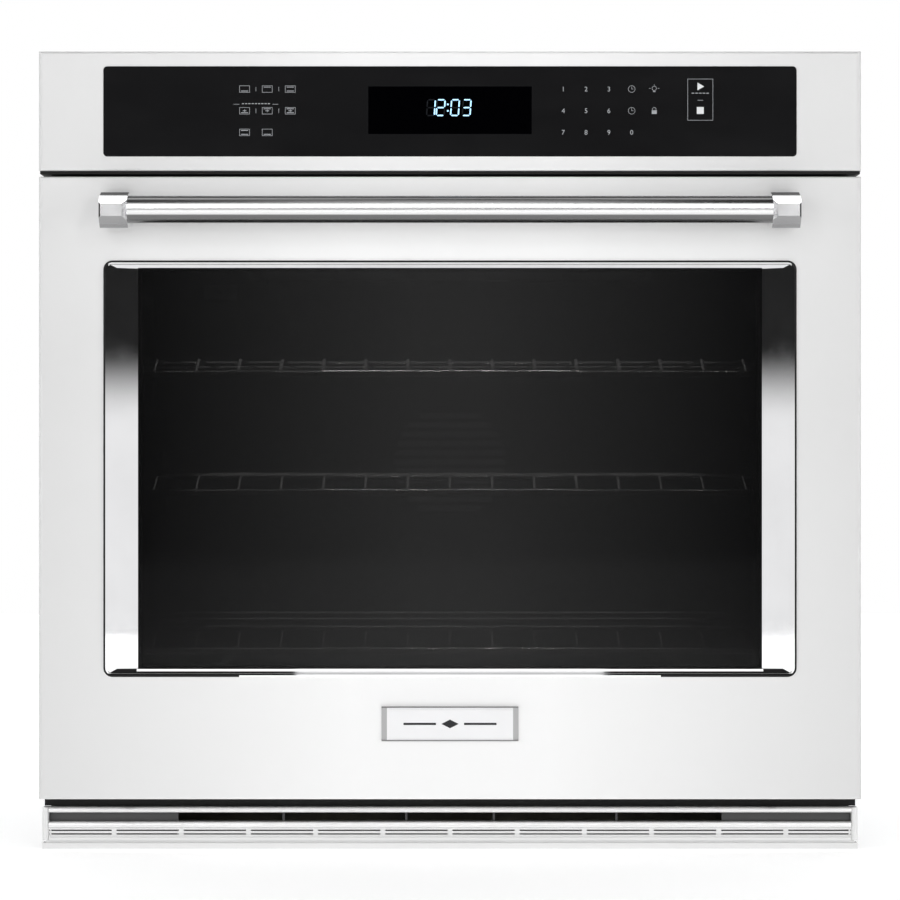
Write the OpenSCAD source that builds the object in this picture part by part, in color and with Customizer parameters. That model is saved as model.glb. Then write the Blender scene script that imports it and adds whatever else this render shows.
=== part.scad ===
// Built-in single wall oven, 30 inch class.
// Front faces -Y, up is +Z, origin at the bottom centre of the bounding box.
// Millimetres throughout.

/* [Overall] */
// Width over the door and control panel
body_w = 762; // [760:1:770]
// Height from the base rails to the top of the control panel
body_h = 742.2; // [742.2:0.1:746]
// Depth from the handle front to the conduit gland
body_d = 681; // [670:1:700]
// Width of the chassis that goes into the cabinet
chassis_w = 722; // [716:1:724]
// Height of the chassis top
chassis_top = 722; // [720:1:726]

/* [Door] */
// Door thickness at its rolled edges
door_t = 38; // [37.5:0.1:38.5]
// Height of the door's lower edge
door_z0 = 49.6; // [49.4:0.1:50]
// Height of the door's upper edge
door_z1 = 626.1; // [625:0.1:626.6]
// Rounding of the long vertical edges
edge_r = 4.6; // [3:0.1:6]
// Rounding of the horizontal edges
lip_r = 2; // [1:0.1:3]
// Sheet thickness of door and panel skins
skin_t = 1.5; // [1.2:0.1:1.8]

/* [Window] */
// Half width of the polished bezel
bezel_hw = 320.7; // [318:0.1:322]
// Lower edge of the bezel
bezel_z0 = 163; // [162:0.1:164]
// Upper edge of the bezel
bezel_z1 = 548.3; // [547:0.1:550]
// Half width of the visible glass
sight_hw = 289.6; // [288.5:0.1:291]
// Width of the upper and lower bevels
sight_rim = 7; // [6:0.1:8]
// Depth of the upper and lower bevels
bevel_drop = 3.6; // [3:0.1:8]
// Corner radius of the bezel
bezel_r = 8.3; // [6:0.1:10]
// Glass pane thickness
pane_t = 4; // [3.5:0.1:4]

/* [Handle] */
// Height of the handle centre
handle_z = 592.1; // [588:0.1:594]
// Radius of the handle bar
bar_r = 12.5; // [11:0.1:13]
// Half width over the end brackets
handle_hw = 319.2; // [316:0.1:322]
// Width of one end bracket
bracket_w = 25.7; // [24:0.1:28]
// Height of one end bracket
bracket_h = 33.2; // [32:0.1:35]
// Distance from door face to bar front
handle_out = 59; // [56:0.5:60]

/* [Control panel] */
// Lower edge of the control panel
panel_z0 = 631.6; // [631:0.1:633]
// Half width of the touch glass
touch_hw = 320.5; // [318:0.1:324]
// Lower edge of the touch glass
touch_z0 = 645; // [644:0.1:647]
// Upper edge of the touch glass
touch_z1 = 727.8; // [726:0.1:729]
// Corner radius of the touch glass
touch_r = 3.3; // [2:0.1:5]
// Half width of the display window
display_hw = 75.6; // [70:0.1:80]

/* [Cavity] */
// Half width inside the oven liner
cavity_hw = 305; // [305:0.5:306]
// Floor of the oven liner
cavity_z0 = 140; // [138:0.5:140]
// Ceiling of the oven liner
cavity_z1 = 580; // [580:0.5:581]
// Depth inside the oven liner
cavity_d = 479.5; // [470:0.5:480]
// Liner sheet thickness
liner_t = 1.2; // [1:0.1:1.4]
// Insulation blanket thickness
wool_t = 23.8; // [20:0.1:23.8]
// Height of the lowest rack position
rack_z0 = 185.6; // [185:0.1:187]
// Spacing of the rack positions
rack_pitch = 37.4; // [37:0.1:37.5]
// Number of rack positions
rack_levels = 8; // [7:1:8]
// Number of front-to-back wires in a rack
rack_wires = 15; // [9:2:17]

/* [Vent trim] */
// Top of the vent trim
vent_top = 39.1; // [38:0.1:39.5]
// Distance from the door face back to the trim front
vent_back = 27; // [26.5:0.1:28]
// Number of slots in the louvre row
louvre_count = 12; // [8:1:14]
// Slot width in the louvre row
louvre_w = 58.2; // [40:0.1:59]
// Slot pitch in the louvre row
louvre_pitch = 62.8; // [60:0.1:62.8]

/* [Mounting] */
// Radius of the cabinet screw holes
screw_r = 2.5; // [2:0.1:3]
// Distance between the left and right screw holes
screw_dx = 735; // [734:0.5:736]
// Height of the lower screw holes
screw_z0 = 110; // [100:1:120]
// Height of the upper screw holes
screw_z1 = 600; // [590:1:605]
// Conduit bore radius
conduit_r = 11.1; // [10:0.1:11.5]

/* [Hidden] */
$fn = 48;
half_w = body_w / 2;
y_rear = body_d / 2;
y_bar = -body_d / 2;
y_face = y_bar + handle_out;
y_trim = y_face + vent_back;
y_door = y_face + door_t;
y_liner = y_face + 33;
y_frame = y_face + 40.5;
frame_t = 1.5;
y_cab = y_frame + frame_t;
y_hem = y_cab + 1;
y_back = y_rear - 13.3;
sheet_t = 1.2;
chassis_hw = chassis_w / 2;
pan_z = 12;
flange_hw = 374;
hinge_y = y_face + 17.5;
hinge_z = 56;
hinge_x = 300;
pin_r = 3;
run_gap = 0.05;
y_cavity = y_cab + cavity_d;
liner_hw = cavity_hw + liner_t;
wool_hw = liner_hw + wool_t;
wool_z0 = cavity_z0 - liner_t - wool_t;
wool_z1 = cavity_z1 + liner_t + wool_t;
fan_z = 360;
lamp_x = 198.6;
lamp_z = 510;
broil_z = 556;
bake_z = 156;
tube_r = 3.4;
ring_drop = 94;
sight_z0 = bezel_z0 + sight_rim + 0.4;
sight_z1 = bezel_z1 - sight_rim + 0.4;
y_pane = y_face + 9;
plug_hw = 300;
plug_z0 = 158;
plug_z1 = 560;
y_plug = y_face + 46.7;
view_hw = 287;
view_z0 = 172;
view_z1 = 540;
latch_y = y_cab + 24.5;
latch_z = 609;
switch_x = 60;
switch_z = 614;
blower_x = 150;
blower_y = 120;
blower_r = 78;
blower_h = 64;
wheel_r = 62;
eye_r = 52;
gland_x = -295;
gland_z = 655;
gland_hole_r = 14.5;
box_half = 45;
// slots and terminal holes
louvre_slit = 5;
louvre_step = 14;
broil_x = 200;
bake_x = 30;
ring_x = 20;
feed_r = 8;
probe_x = -250;
probe_z = 545;
shaft_r = 4;
lens_hole_r = 24;
lamp_can_r = 23.5;
latch_x0 = -9;
latch_x1 = 20;
latch_dz0 = -3;
latch_dz1 = 6;
hinge_slot_hw = 5;
arm_hw = 1.5;
channel_hw = 7.5;
frame_z0 = 8;
frame_z1 = 736;
ear_hw = half_w - 0.8;
ear_z0 = 39.4;
ear_z1 = 52;
deflector_hw = half_w - 0.8;
// vent trim levels, bottom to top
lip_z = 6;
groove_z = 8.3;
band_z = 11.1;
row_z = 19.7;
rail_z = 25.6;
upper_rail_z = 34.2;
band_hw = half_w - 6;
slot_z0 = 25.8;
slot_z1 = 34;
// handle bolts and rack wires
bolt_dz = 9;
rack_r = 3;
wire_r = 1.9;
rack_hw = cavity_hw - 4.5;
rack_y0 = y_cab + 16.5;
rack_y1 = y_cavity - 38;
rack_nose = 40;
rack_deck = 11;
rack_dip = 2.5;
rack_wire_pitch = 40.1;

// ---- helpers ----

// Block between two corners.
module block(x0, x1, y0, y1, z0, z1) {
    translate([x0, y0, z0]) cube([x1 - x0, y1 - y0, z1 - z0]);
}

// Children and their mirror image across the centre plane.
module both() {
    children();
    mirror([1, 0, 0]) children();
}

module rod_x(x0, x1, y, z, r) {
    translate([x0, y, z]) rotate([0, 90, 0]) cylinder(h = x1 - x0, r = r);
}

module rod_y(y0, y1, x, z, r) {
    translate([x, y1, z]) rotate([90, 0, 0]) cylinder(h = y1 - y0, r = r);
}

module rod_z(z0, z1, x, y, r) {
    translate([x, y, z0]) cylinder(h = z1 - z0, r = r);
}

// Rounded rectangle seen from the front, between two Y planes.
module plate(hx, z0, z1, y0, y1, r) {
    translate([0, y1, 0]) rotate([90, 0, 0]) linear_extrude(y1 - y0) union() {
        translate([-hx + r, z0]) square([2 * hx - 2 * r, z1 - z0]);
        translate([-hx, z0 + r]) square([2 * hx, z1 - z0 - 2 * r]);
        for (sx = [-1, 1]) {
            translate([sx * (hx - r), z0 + r]) circle(r);
            translate([sx * (hx - r), z1 - r]) circle(r);
        }
    }
}

// Front block whose front edges are rounded: rs on the sides, rt at the top and rb at the bottom.
module soft_front(hx, y0, y1, z0, z1, rs, rt, rb) {
    intersection() {
        translate([0, 0, z0]) linear_extrude(z1 - z0) union() {
            translate([-hx + rs, y0]) square([2 * hx - 2 * rs, y1 - y0]);
            translate([-hx, y0 + rs]) square([2 * hx, y1 - y0 - rs]);
            for (sx = [-1, 1]) translate([sx * (hx - rs), y0 + rs]) circle(rs);
        }
        translate([-hx, 0, 0]) rotate([90, 0, 90]) linear_extrude(2 * hx) union() {
            translate([y0, z0 + rb]) square([y1 - y0, z1 - z0 - rt - rb]);
            translate([y0 + rt, z1 - rt - 1]) square([y1 - y0 - rt, rt + 1]);
            translate([y0 + rb, z0]) square([y1 - y0 - rb, rb + 1]);
            translate([y0 + rt, z1 - rt]) circle(rt);
            translate([y0 + rb, z0 + rb]) circle(rb);
        }
    }
}

// Quarter bend of round tube in the XY plane, centre at the origin, from angle a.
module bend(rc, r, a, sweep) {
    rotate([0, 0, a]) rotate_extrude(angle = sweep) translate([rc, 0]) circle(r);
}

// Slit through a level sheet whose top is at z, for a cut.
module slit_z(x, hx, y, z) {
    block(x - hx, x + hx, y, y + louvre_slit, z - sheet_t - 1, z + 1);
}

// ---- chassis ----

module side_panel() {
    block(chassis_hw - sheet_t, chassis_hw, y_cab, y_back - sheet_t, pan_z + sheet_t, chassis_top - sheet_t);
    // inward stiffening folds
    block(chassis_hw - 14, chassis_hw - sheet_t, y_back - 2 * sheet_t, y_back - sheet_t, 80, 600);
    block(chassis_hw - 14, chassis_hw - sheet_t, -10, -10 + sheet_t, pan_z + 30, 590);
}

module side_panel_left() {
    color("silver") mirror([1, 0, 0]) side_panel();
}

module side_panel_right() {
    color("silver") side_panel();
}

module top_panel() {
    color("silver") difference() {
        block(-chassis_hw, chassis_hw, y_cab, y_back - sheet_t, chassis_top - sheet_t, chassis_top);
        for (i = [0:8], sx = [-1, 1])
            slit_z(sx * 200, 45, -60 + i * louvre_step, chassis_top);
        for (i = [0:5])
            slit_z(blower_x, 30, 200 + i * louvre_step, chassis_top);
    }
}

module back_panel() {
    color("silver") difference() {
        block(-chassis_hw, chassis_hw, y_back - sheet_t, y_back, pan_z, chassis_top);
        for (i = [0:9], sx = [-1, 1])
            block(sx * 150 - 50, sx * 150 + 50, y_back - 5, y_back + 1,
                440 + i * louvre_step, 440 + i * louvre_step + louvre_slit);
        rod_y(y_back - 5, y_back + 1, gland_x, gland_z, gland_hole_r);
    }
}

module base_pan() {
    color("silver") difference() {
        block(-chassis_hw, chassis_hw, y_cab, y_back - sheet_t, pan_z, pan_z + sheet_t);
        for (i = [0:7], sx = [-1, 1])
            slit_z(sx * 130, 50, 100 + i * louvre_step, pan_z + sheet_t);
    }
}

module base_rails() {
    color("dimgray") both() {
        block(300, 340, y_cab + 14, y_back - 8, 0, 2);
        block(300, 302, y_cab + 14, y_back - 8, 2, pan_z);
        block(338, 340, y_cab + 14, y_back - 8, 2, pan_z);
    }
}

module front_frame() {
    color("dimgray") difference() {
        union() {
            block(-flange_hw, flange_hw, y_frame, y_cab, frame_z0, frame_z1);
            // ears that close the gap below the door
            block(-ear_hw, ear_hw, y_frame, y_cab, ear_z0, ear_z1);
            // hemmed edges that bear on the cabinet
            both() block(chassis_hw + 1, flange_hw, y_cab, y_hem, frame_z0, frame_z1);
            // return that stiffens the cavity mouth
            block(-cavity_hw - 30, cavity_hw + 30, y_cab, y_cab + sheet_t, wool_z0 - 12, cavity_z0 - liner_t - 2);
        }
        block(-cavity_hw, cavity_hw, y_frame - 1, y_cab + 1, cavity_z0, cavity_z1);
        // exhaust opening behind the vent trim
        block(-256, 256, y_frame - 1, y_cab + 1, 11, 36);
        // hinge arm slots
        both() block(hinge_x - 6, hinge_x + 6, y_frame - 1, y_cab + 1, 46, 70);
        // latch slot and switch hole
        block(latch_x0, latch_x1, y_frame - 1, y_cab + 1, latch_z + latch_dz0, latch_z + latch_dz1);
        rod_y(y_frame - 1, y_cab + 1, switch_x, switch_z, 4);
        // wiring and cooling windows behind the control panel
        for (sx = [-1, 0, 1])
            block(sx * 200 - 80, sx * 200 + 80, y_frame - 1, y_cab + 1, 646, 712);
        // cabinet screw holes
        for (sx = [-1, 1], z = [screw_z0, screw_z1])
            rod_y(y_frame - 1, y_hem + 1, sx * screw_dx / 2, z, screw_r);
    }
}

module cavity_liner() {
    color("darkslategray") {
        difference() {
            block(-liner_hw, liner_hw, y_cab, y_cavity + liner_t, cavity_z0 - liner_t, cavity_z1 + liner_t);
            block(-cavity_hw, cavity_hw, y_cab - 1, y_cavity, cavity_z0, cavity_z1);
            rod_y(y_cavity - 1, y_cavity + 5, 0, fan_z, feed_r);
            for (sx = [-1, 1]) {
                rod_y(y_cavity - 1, y_cavity + 5, sx * lamp_x, lamp_z, lens_hole_r);
                rod_y(y_cavity - 1, y_cavity + 5, sx * broil_x, broil_z, tube_r + 0.6);
                rod_y(y_cavity - 1, y_cavity + 5, sx * bake_x, bake_z, tube_r + 0.6);
                rod_y(y_cavity - 1, y_cavity + 5, sx * ring_x, fan_z - ring_drop, tube_r + 0.6);
            }
            rod_y(y_cavity - 1, y_cavity + 5, probe_x, probe_z, 3);
        }
        // embossed rack ledges
        both() for (i = [0:rack_levels - 1])
            block(cavity_hw - 8, cavity_hw, y_cab + 40, y_cavity - 40,
                rack_z0 + i * rack_pitch + 2.6, rack_z0 + i * rack_pitch + 7.6);
    }
}

module insulation() {
    color("khaki") difference() {
        block(-wool_hw, wool_hw, y_cab + 2, y_cavity + liner_t + wool_t, wool_z0, wool_z1);
        block(-liner_hw, liner_hw, y_cab - 1, y_cavity + liner_t, cavity_z0 - liner_t, cavity_z1 + liner_t);
        rod_y(y_cavity - 1, y_cavity + 60, 0, fan_z, 10);
        for (sx = [-1, 1]) {
            rod_y(y_cavity - 1, y_cavity + 60, sx * lamp_x, lamp_z, lens_hole_r + 3);
            rod_y(y_cavity - 1, y_cavity + 60, sx * broil_x, broil_z, feed_r);
            rod_y(y_cavity - 1, y_cavity + 60, sx * bake_x, bake_z, feed_r);
            rod_y(y_cavity - 1, y_cavity + 60, sx * ring_x, fan_z - ring_drop, feed_r);
        }
        rod_y(y_cavity - 1, y_cavity + 60, probe_x, probe_z, 5);
    }
}

module door_gasket() {
    color("gray") difference() {
        plate(cavity_hw + 18, cavity_z0 - 18, cavity_z1 + 18, y_frame - 5.9, y_frame, 14);
        plate(cavity_hw + 6, cavity_z0 - 6, cavity_z1 + 6, y_frame - 7, y_frame + 1, 6);
        plate(cavity_hw + 9, cavity_z0 - 9, cavity_z1 + 9, y_frame - 7, y_frame - 4.4, 8);
    }
}

// ---- heating ----

module bake_element() {
    bx = 230;
    fy = y_cab + 60;
    ry = y_cavity - 50;
    br = 30;
    color("gray") translate([0, 0, bake_z]) {
        both() {
            rod_y(ry + br, y_cavity + 20, bake_x, 0, tube_r);
            translate([bake_x + br, ry + br, 0]) bend(br, tube_r, 180, 90);
            rod_x(bake_x + br, bx - br, ry, 0, tube_r);
            translate([bx - br, ry - br, 0]) bend(br, tube_r, 0, 90);
            rod_y(fy + br, ry - br, bx, 0, tube_r);
            translate([bx - br, fy + br, 0]) bend(br, tube_r, 270, 90);
            rod_y(y_cavity - 2, y_cavity, bake_x, 0, 9);
        }
        rod_x(-bx + br, bx - br, fy, 0, tube_r);
    }
}

module broil_element() {
    fy = y_cab + 100;
    ry = y_cavity - 90;
    pitch = broil_x / 2.5;
    color("gray") translate([0, 0, broil_z]) {
        both() {
            rod_y(fy, y_cavity + 20, broil_x, 0, tube_r);
            rod_y(fy, ry, 1.5 * pitch, 0, tube_r);
            rod_y(fy, ry, 0.5 * pitch, 0, tube_r);
            translate([2 * pitch, fy, 0]) bend(pitch / 2, tube_r, 180, 180);
            translate([pitch, ry, 0]) bend(pitch / 2, tube_r, 0, 180);
            rod_y(y_cavity - 2, y_cavity, broil_x, 0, 9);
        }
        translate([0, fy, 0]) bend(pitch / 2, tube_r, 180, 180);
    }
}

module element_clips() {
    color("silver") {
        for (y = [-60, 90]) difference() {
            union() {
                block(-210, 210, y, y + 2, broil_z - 6, broil_z + 6);
                both() block(205, 210, y, y + 2, broil_z + 6, cavity_z1);
            }
            both() for (k = [0.2, 0.6, 1]) rod_y(y - 1, y + 3, k * broil_x, broil_z, tube_r + 0.1);
        }
        both() difference() {
            block(226, 234, -80, -78, cavity_z0, bake_z + 6);
            rod_y(-81, -77, 230, bake_z, tube_r + 0.1);
        }
    }
}

module convection_element() {
    ring = 96;
    color("gray") {
        translate([0, y_cavity - 12, fan_z]) rotate([90, 0, 0]) bend(ring, tube_r, 282, 336);
        for (sx = [-1, 1])
            rod_y(y_cavity - 12, y_cavity + 20, sx * ring_x, fan_z - ring_drop, tube_r - 0.2);
    }
}

module fan_cover() {
    hx = 150;
    hz = 125;
    y0 = y_cavity - 28;
    color("darkslategray") difference() {
        plate(hx, fan_z - hz, fan_z + hz, y0, y_cavity, 12);
        plate(hx - sheet_t, fan_z - hz + sheet_t, fan_z + hz - sheet_t, y0 + sheet_t, y_cavity + 1, 11);
        // air intake grille
        for (i = [-5:5])
            block(-sqrt(3600 - i * i * 100), sqrt(3600 - i * i * 100), y0 - 1, y0 + 3, fan_z + i * 10 - 3, fan_z + i * 10 + 3);
        // outlet slots left and right
        both() for (i = [-6:6])
            block(108, 138, y0 - 1, y0 + 3, fan_z + i * 14 - 3, fan_z + i * 14 + 3);
    }
}

module convection_fan() {
    color("silver") {
        rod_y(y_cavity - 8, y_cavity - 6.8, 0, fan_z, 70);
        rod_y(y_cavity - 22, y_cavity - 8, 0, fan_z, 14);
        rod_y(y_cavity - 8, y_cavity + 40, 0, fan_z, shaft_r);
        for (i = [0:7])
            translate([0, 0, fan_z]) rotate([0, i * 45, 0]) translate([16, 0, 0]) rotate([0, 25, 0])
                block(0, 50, y_cavity - 22, y_cavity - 7.5, -0.6, 0.6);
    }
}

module fan_motor() {
    y0 = y_cavity + liner_t + wool_t;
    color("dimgray") difference() {
        union() {
            block(-60, 60, y0, y0 + 2, fan_z - 20, fan_z + 20);
            rod_y(y0 + 2, y0 + 34, 0, fan_z, 34);
            block(-20, 20, y0 + 6, y0 + 26, fan_z - 48, fan_z - 30);
        }
        rod_y(y0 - 1, y0 + 22, 0, fan_z, shaft_r + run_gap);
    }
}

module lamp_housings() {
    color("silver") both() difference() {
        union() {
            rod_y(y_cavity - 2, y_cavity, lamp_x, lamp_z, 30);
            rod_y(y_cavity, y_cavity + 44, lamp_x, lamp_z, lamp_can_r);
        }
        rod_y(y_cavity - 3, y_cavity + 38, lamp_x, lamp_z, 21);
    }
}

module lamp_lenses() {
    color("white") both() translate([lamp_x, y_cavity - 2, lamp_z]) rotate([90, 0, 0])
        cylinder(h = 9, r1 = 27, r2 = 20);
}

module temperature_sensor() {
    color("silver") {
        rod_y(y_cavity - 120, y_cavity + 20, probe_x, probe_z, 2.4);
        block(probe_x - 18, probe_x + 18, y_cavity - 2, y_cavity, probe_z - 8, probe_z + 8);
    }
}

// ---- hinges ----

module hinge_arm() {
    color("silver") {
        block(hinge_x - arm_hw, hinge_x + arm_hw, hinge_y, y_cab + 30, hinge_z - 5, hinge_z + 5);
        rod_x(hinge_x - arm_hw, hinge_x + arm_hw, hinge_y, hinge_z, 5);
        block(hinge_x - arm_hw, hinge_x + arm_hw, y_cab + 20, y_cab + 30, hinge_z - 14, hinge_z);
        rod_x(hinge_x - channel_hw, hinge_x + channel_hw, hinge_y, hinge_z, pin_r);
    }
}

module hinge_arm_left() {
    mirror([1, 0, 0]) hinge_arm();
}

module hinge_arm_right() {
    hinge_arm();
}

module hinge_receivers() {
    color("dimgray") both() difference() {
        block(hinge_x - 14, hinge_x + 14, y_cab, y_cab + 46, pan_z + sheet_t, 82);
        block(hinge_x - 8, hinge_x + 8, y_cab - 1, y_cab + 40, pan_z + 8, 76);
    }
}

module hinge_channel() {
    z0 = door_z0 + skin_t;
    color("silver") difference() {
        block(hinge_x - channel_hw, hinge_x + channel_hw, y_face + skin_t + 2, y_liner - 3, z0, 150);
        block(hinge_x - channel_hw + 2, hinge_x + channel_hw - 2, y_face + skin_t + 5, y_liner, z0 - 1, 148);
        rod_x(hinge_x - 9, hinge_x + 9, hinge_y, hinge_z, pin_r + run_gap);
    }
}

module hinge_channel_left() {
    mirror([1, 0, 0]) hinge_channel();
}

module hinge_channel_right() {
    hinge_channel();
}

// ---- latch and switch ----

module latch_motor() {
    color("dimgray") {
        block(-40, 40, latch_y - 18, latch_y + 34, latch_z + 3, latch_z + 5);
        rod_z(latch_z - 0.5, latch_z + 3, 0, latch_y, 4);
        rod_z(latch_z - 3.3, latch_z - 0.5, 0, latch_y, 6);
        rod_z(latch_z + 5, latch_z + 30, 0, latch_y + 8, 22);
        block(-40, -38, latch_y - 18, latch_y + 34, wool_z1, latch_z + 3);
        block(38, 40, latch_y - 18, latch_y + 34, wool_z1, latch_z + 3);
    }
}

module latch_hook() {
    color("silver") difference() {
        union() {
            rod_z(latch_z, latch_z + 2.5, 0, latch_y, 9);
            // arm with a nose that lies square behind the door liner when turned
            translate([0, latch_y, latch_z]) linear_extrude(2.5)
                polygon([[-5, 0], [5, 0], [5, -38], [13.5, -41.5], [13.5, -47], [-5, -47]]);
        }
        rod_z(latch_z - 1, latch_z + 4, 0, latch_y, 4 + run_gap);
    }
}

module door_switch() {
    color("black") difference() {
        block(switch_x - 10, switch_x + 10, y_cab, y_cab + 24, switch_z - 8, switch_z + 8);
        rod_y(y_cab - 1, y_cab + 16, switch_x, switch_z, 2.5 + run_gap);
    }
}

module switch_plunger() {
    color("white") rod_y(y_liner + 1.6, y_cab + 12, switch_x, switch_z, 2.5);
}

// ---- control panel ----

module control_panel() {
    color("white") difference() {
        soft_front(half_w, y_face, y_frame, panel_z0, body_h, edge_r, 3, lip_r);
        block(-half_w + skin_t, half_w - skin_t, y_face + skin_t, y_frame + 1, panel_z0 + skin_t, body_h - skin_t);
        plate(touch_hw + 0.4, touch_z0 - 0.4, touch_z1 + 0.4, y_face - 1, y_face + 3, touch_r + 0.4);
    }
}

module control_glass() {
    color("black") plate(touch_hw, touch_z0, touch_z1, y_face - 0.5, y_face + 3.3, touch_r);
}

module display_module() {
    y0 = y_face + 3.3;
    color("darkslategray") {
        block(-display_hw - 6, display_hw + 6, y0, y0 + 9, touch_z0 + 12, touch_z1 - 10);
        block(-display_hw + 14, display_hw - 14, y0 + 9, y0 + 13, touch_z0 + 20, touch_z1 - 18);
    }
}

module control_board() {
    y0 = y_face + 16.3;
    color("darkgreen") {
        block(-300, 300, y0, y0 + 1.6, touch_z0 + 2, touch_z1 - 4);
        for (i = [0:3]) block(120 + i * 36, 144 + i * 36, y0 + 1.6, y0 + 16, touch_z0 + 14, touch_z0 + 30);
        block(-250, -190, y0 + 1.6, y0 + 20, touch_z0 + 16, touch_z0 + 56);
        block(-120, -96, y0 + 1.6, y0 + 5, touch_z0 + 30, touch_z0 + 54);
        for (x = [-60, -40, 40]) rod_y(y0 + 1.6, y0 + 14, x, touch_z0 + 44, 6);
        for (sx = [-1, 1]) rod_y(y0 - 13, y0, sx * 280, touch_z0 + 40, 4);
    }
}

module air_deflector() {
    color("black") {
        block(-deflector_hw, deflector_hw, y_face + 6, y_frame, panel_z0 - 2.6, panel_z0 - 1.4);
        block(-deflector_hw, deflector_hw, y_frame - 4, y_frame, panel_z0 - 1.4, panel_z0);
        block(-deflector_hw, deflector_hw, y_face + 6, y_face + 9, panel_z0 - 1.4, panel_z0);
    }
}

// ---- cooling blower ----

module blower_housing() {
    z0 = wool_z1 + 2;
    color("lightgray") difference() {
        union() {
            rod_z(z0, z0 + blower_h, blower_x, blower_y, blower_r);
            block(blower_x, blower_x + blower_r, blower_y - 120, blower_y, z0, z0 + blower_h);
        }
        rod_z(z0 + skin_t, z0 + blower_h - skin_t, blower_x, blower_y, blower_r - skin_t);
        block(blower_x + 2, blower_x + blower_r - skin_t, blower_y - 121, blower_y, z0 + skin_t, z0 + blower_h - skin_t);
        rod_z(z0 + 50, z0 + blower_h + 6, blower_x, blower_y, eye_r - 2);
    }
}

module blower_wheel() {
    z0 = wool_z1 + 8;
    color("silver") {
        rod_z(z0, z0 + 1.5, blower_x, blower_y, wheel_r);
        rod_z(z0, z0 + 14, blower_x, blower_y, 8);
        rod_z(z0 + 14, z0 + 40, blower_x, blower_y, 3);
        difference() {
            rod_z(z0 + 46, z0 + 48, blower_x, blower_y, wheel_r);
            rod_z(z0 + 45, z0 + 49, blower_x, blower_y, eye_r);
        }
        for (i = [0:23])
            translate([blower_x, blower_y, 0]) rotate([0, 0, i * 15]) translate([eye_r, 0, 0]) rotate([0, 0, 30])
                block(0, 9, -0.5, 0.5, z0 + 1, z0 + 47);
    }
}

module blower_motor() {
    z0 = wool_z1 + 66;
    color("dimgray") difference() {
        union() {
            rod_z(z0 - 34, z0 + 4, blower_x, blower_y, 30);
            for (a = [30, 150, 270])
                translate([blower_x, blower_y, 0]) rotate([0, 0, a]) block(20, 70, -5, 5, z0, z0 + 3);
        }
        rod_z(z0 - 35, z0 - 10, blower_x, blower_y, 3 + run_gap);
    }
}

// ---- electrical connection ----

module junction_box() {
    y0 = y_back - sheet_t;
    color("silver") difference() {
        block(gland_x - box_half, gland_x + box_half, y0 - 48, y0, gland_z - 40, gland_z + 40);
        block(gland_x - box_half + 2, gland_x + box_half - 2, y0 - 46, y0 - 1.5, gland_z - 38, gland_z + 38);
        rod_y(y0 - 3, y0 + 1, gland_x, gland_z, gland_hole_r);
    }
}

module conduit_gland() {
    color("silver") difference() {
        union() {
            rod_y(y_back - 14, y_rear - 6, gland_x, gland_z, gland_hole_r - 0.3);
            translate([gland_x, y_back + 5, gland_z]) rotate([90, 0, 0]) cylinder(h = 5, r = 21, $fn = 6);
            rod_y(y_back + 5, y_rear, gland_x, gland_z, 17);
            rod_y(y_back - 10, y_back - 3, gland_x, gland_z, 19);
        }
        rod_y(y_back - 15, y_rear + 1, gland_x, gland_z, conduit_r);
    }
}

// ---- vent trim ----

module vent_trim() {
    color("gainsboro") difference() {
        union() {
            // bottom lip, groove and band
            block(-half_w, half_w, y_trim, y_frame, 0.4, lip_z);
            block(-half_w + 3, half_w - 3, y_trim + 3, y_frame, lip_z, groove_z);
            block(-band_hw, band_hw, y_trim + 0.5, y_frame, groove_z, band_z);
            // louvre row
            block(-band_hw, band_hw, y_trim + 3, y_trim + 4.5, band_z, row_z);
            block(-band_hw, band_hw, y_trim + 3, y_trim + 7.5, row_z - 1, row_z);
            block(-band_hw, band_hw, y_trim + 6, y_trim + 7.5, row_z, rail_z);
            // recessed upper band, carrying the upper rail
            block(-band_hw, band_hw, y_frame - 3, y_frame, row_z, vent_top);
            block(-band_hw, band_hw, y_trim + 7.5, y_frame - 3, row_z, row_z + 1.5);
        }
        for (i = [0:louvre_count - 1], z = [13.4, 16.8])
            translate([(i - (louvre_count - 1) / 2) * louvre_pitch, 0, z])
                block(-louvre_w / 2, louvre_w / 2, y_trim + 2, y_trim + 5, 0, 1.3);
        // exhaust slots in the recessed band
        exhaust_slot(-40, 40);
        both() exhaust_slot(42, 155);
        both() exhaust_slot(157, 254.6);
    }
}

module exhaust_slot(x0, x1) {
    block(x0, x1, y_frame - 4, y_frame + 1, slot_z0, slot_z1);
}

// One bright rounded rail of the vent trim.
module vent_rail(z0, z1, y1) {
    r = (z1 - z0) / 2;
    rod_x(-band_hw, band_hw, y_trim + r, z0 + r, r);
    block(-band_hw, band_hw, y_trim + r, y1, z0, z1);
}

module vent_rails() {
    color("white") {
        vent_rail(upper_rail_z, vent_top, y_frame - 3);
        vent_rail(row_z, rail_z, y_trim + 6);
    }
}

module vent_end_caps() {
    color("gainsboro") both() {
        block(band_hw, half_w, y_trim + 2.5, y_frame, groove_z, vent_top);
        rod_z(groove_z, vent_top, half_w - 3, y_trim + 3, 3);
    }
}

// ---- door ----

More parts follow.
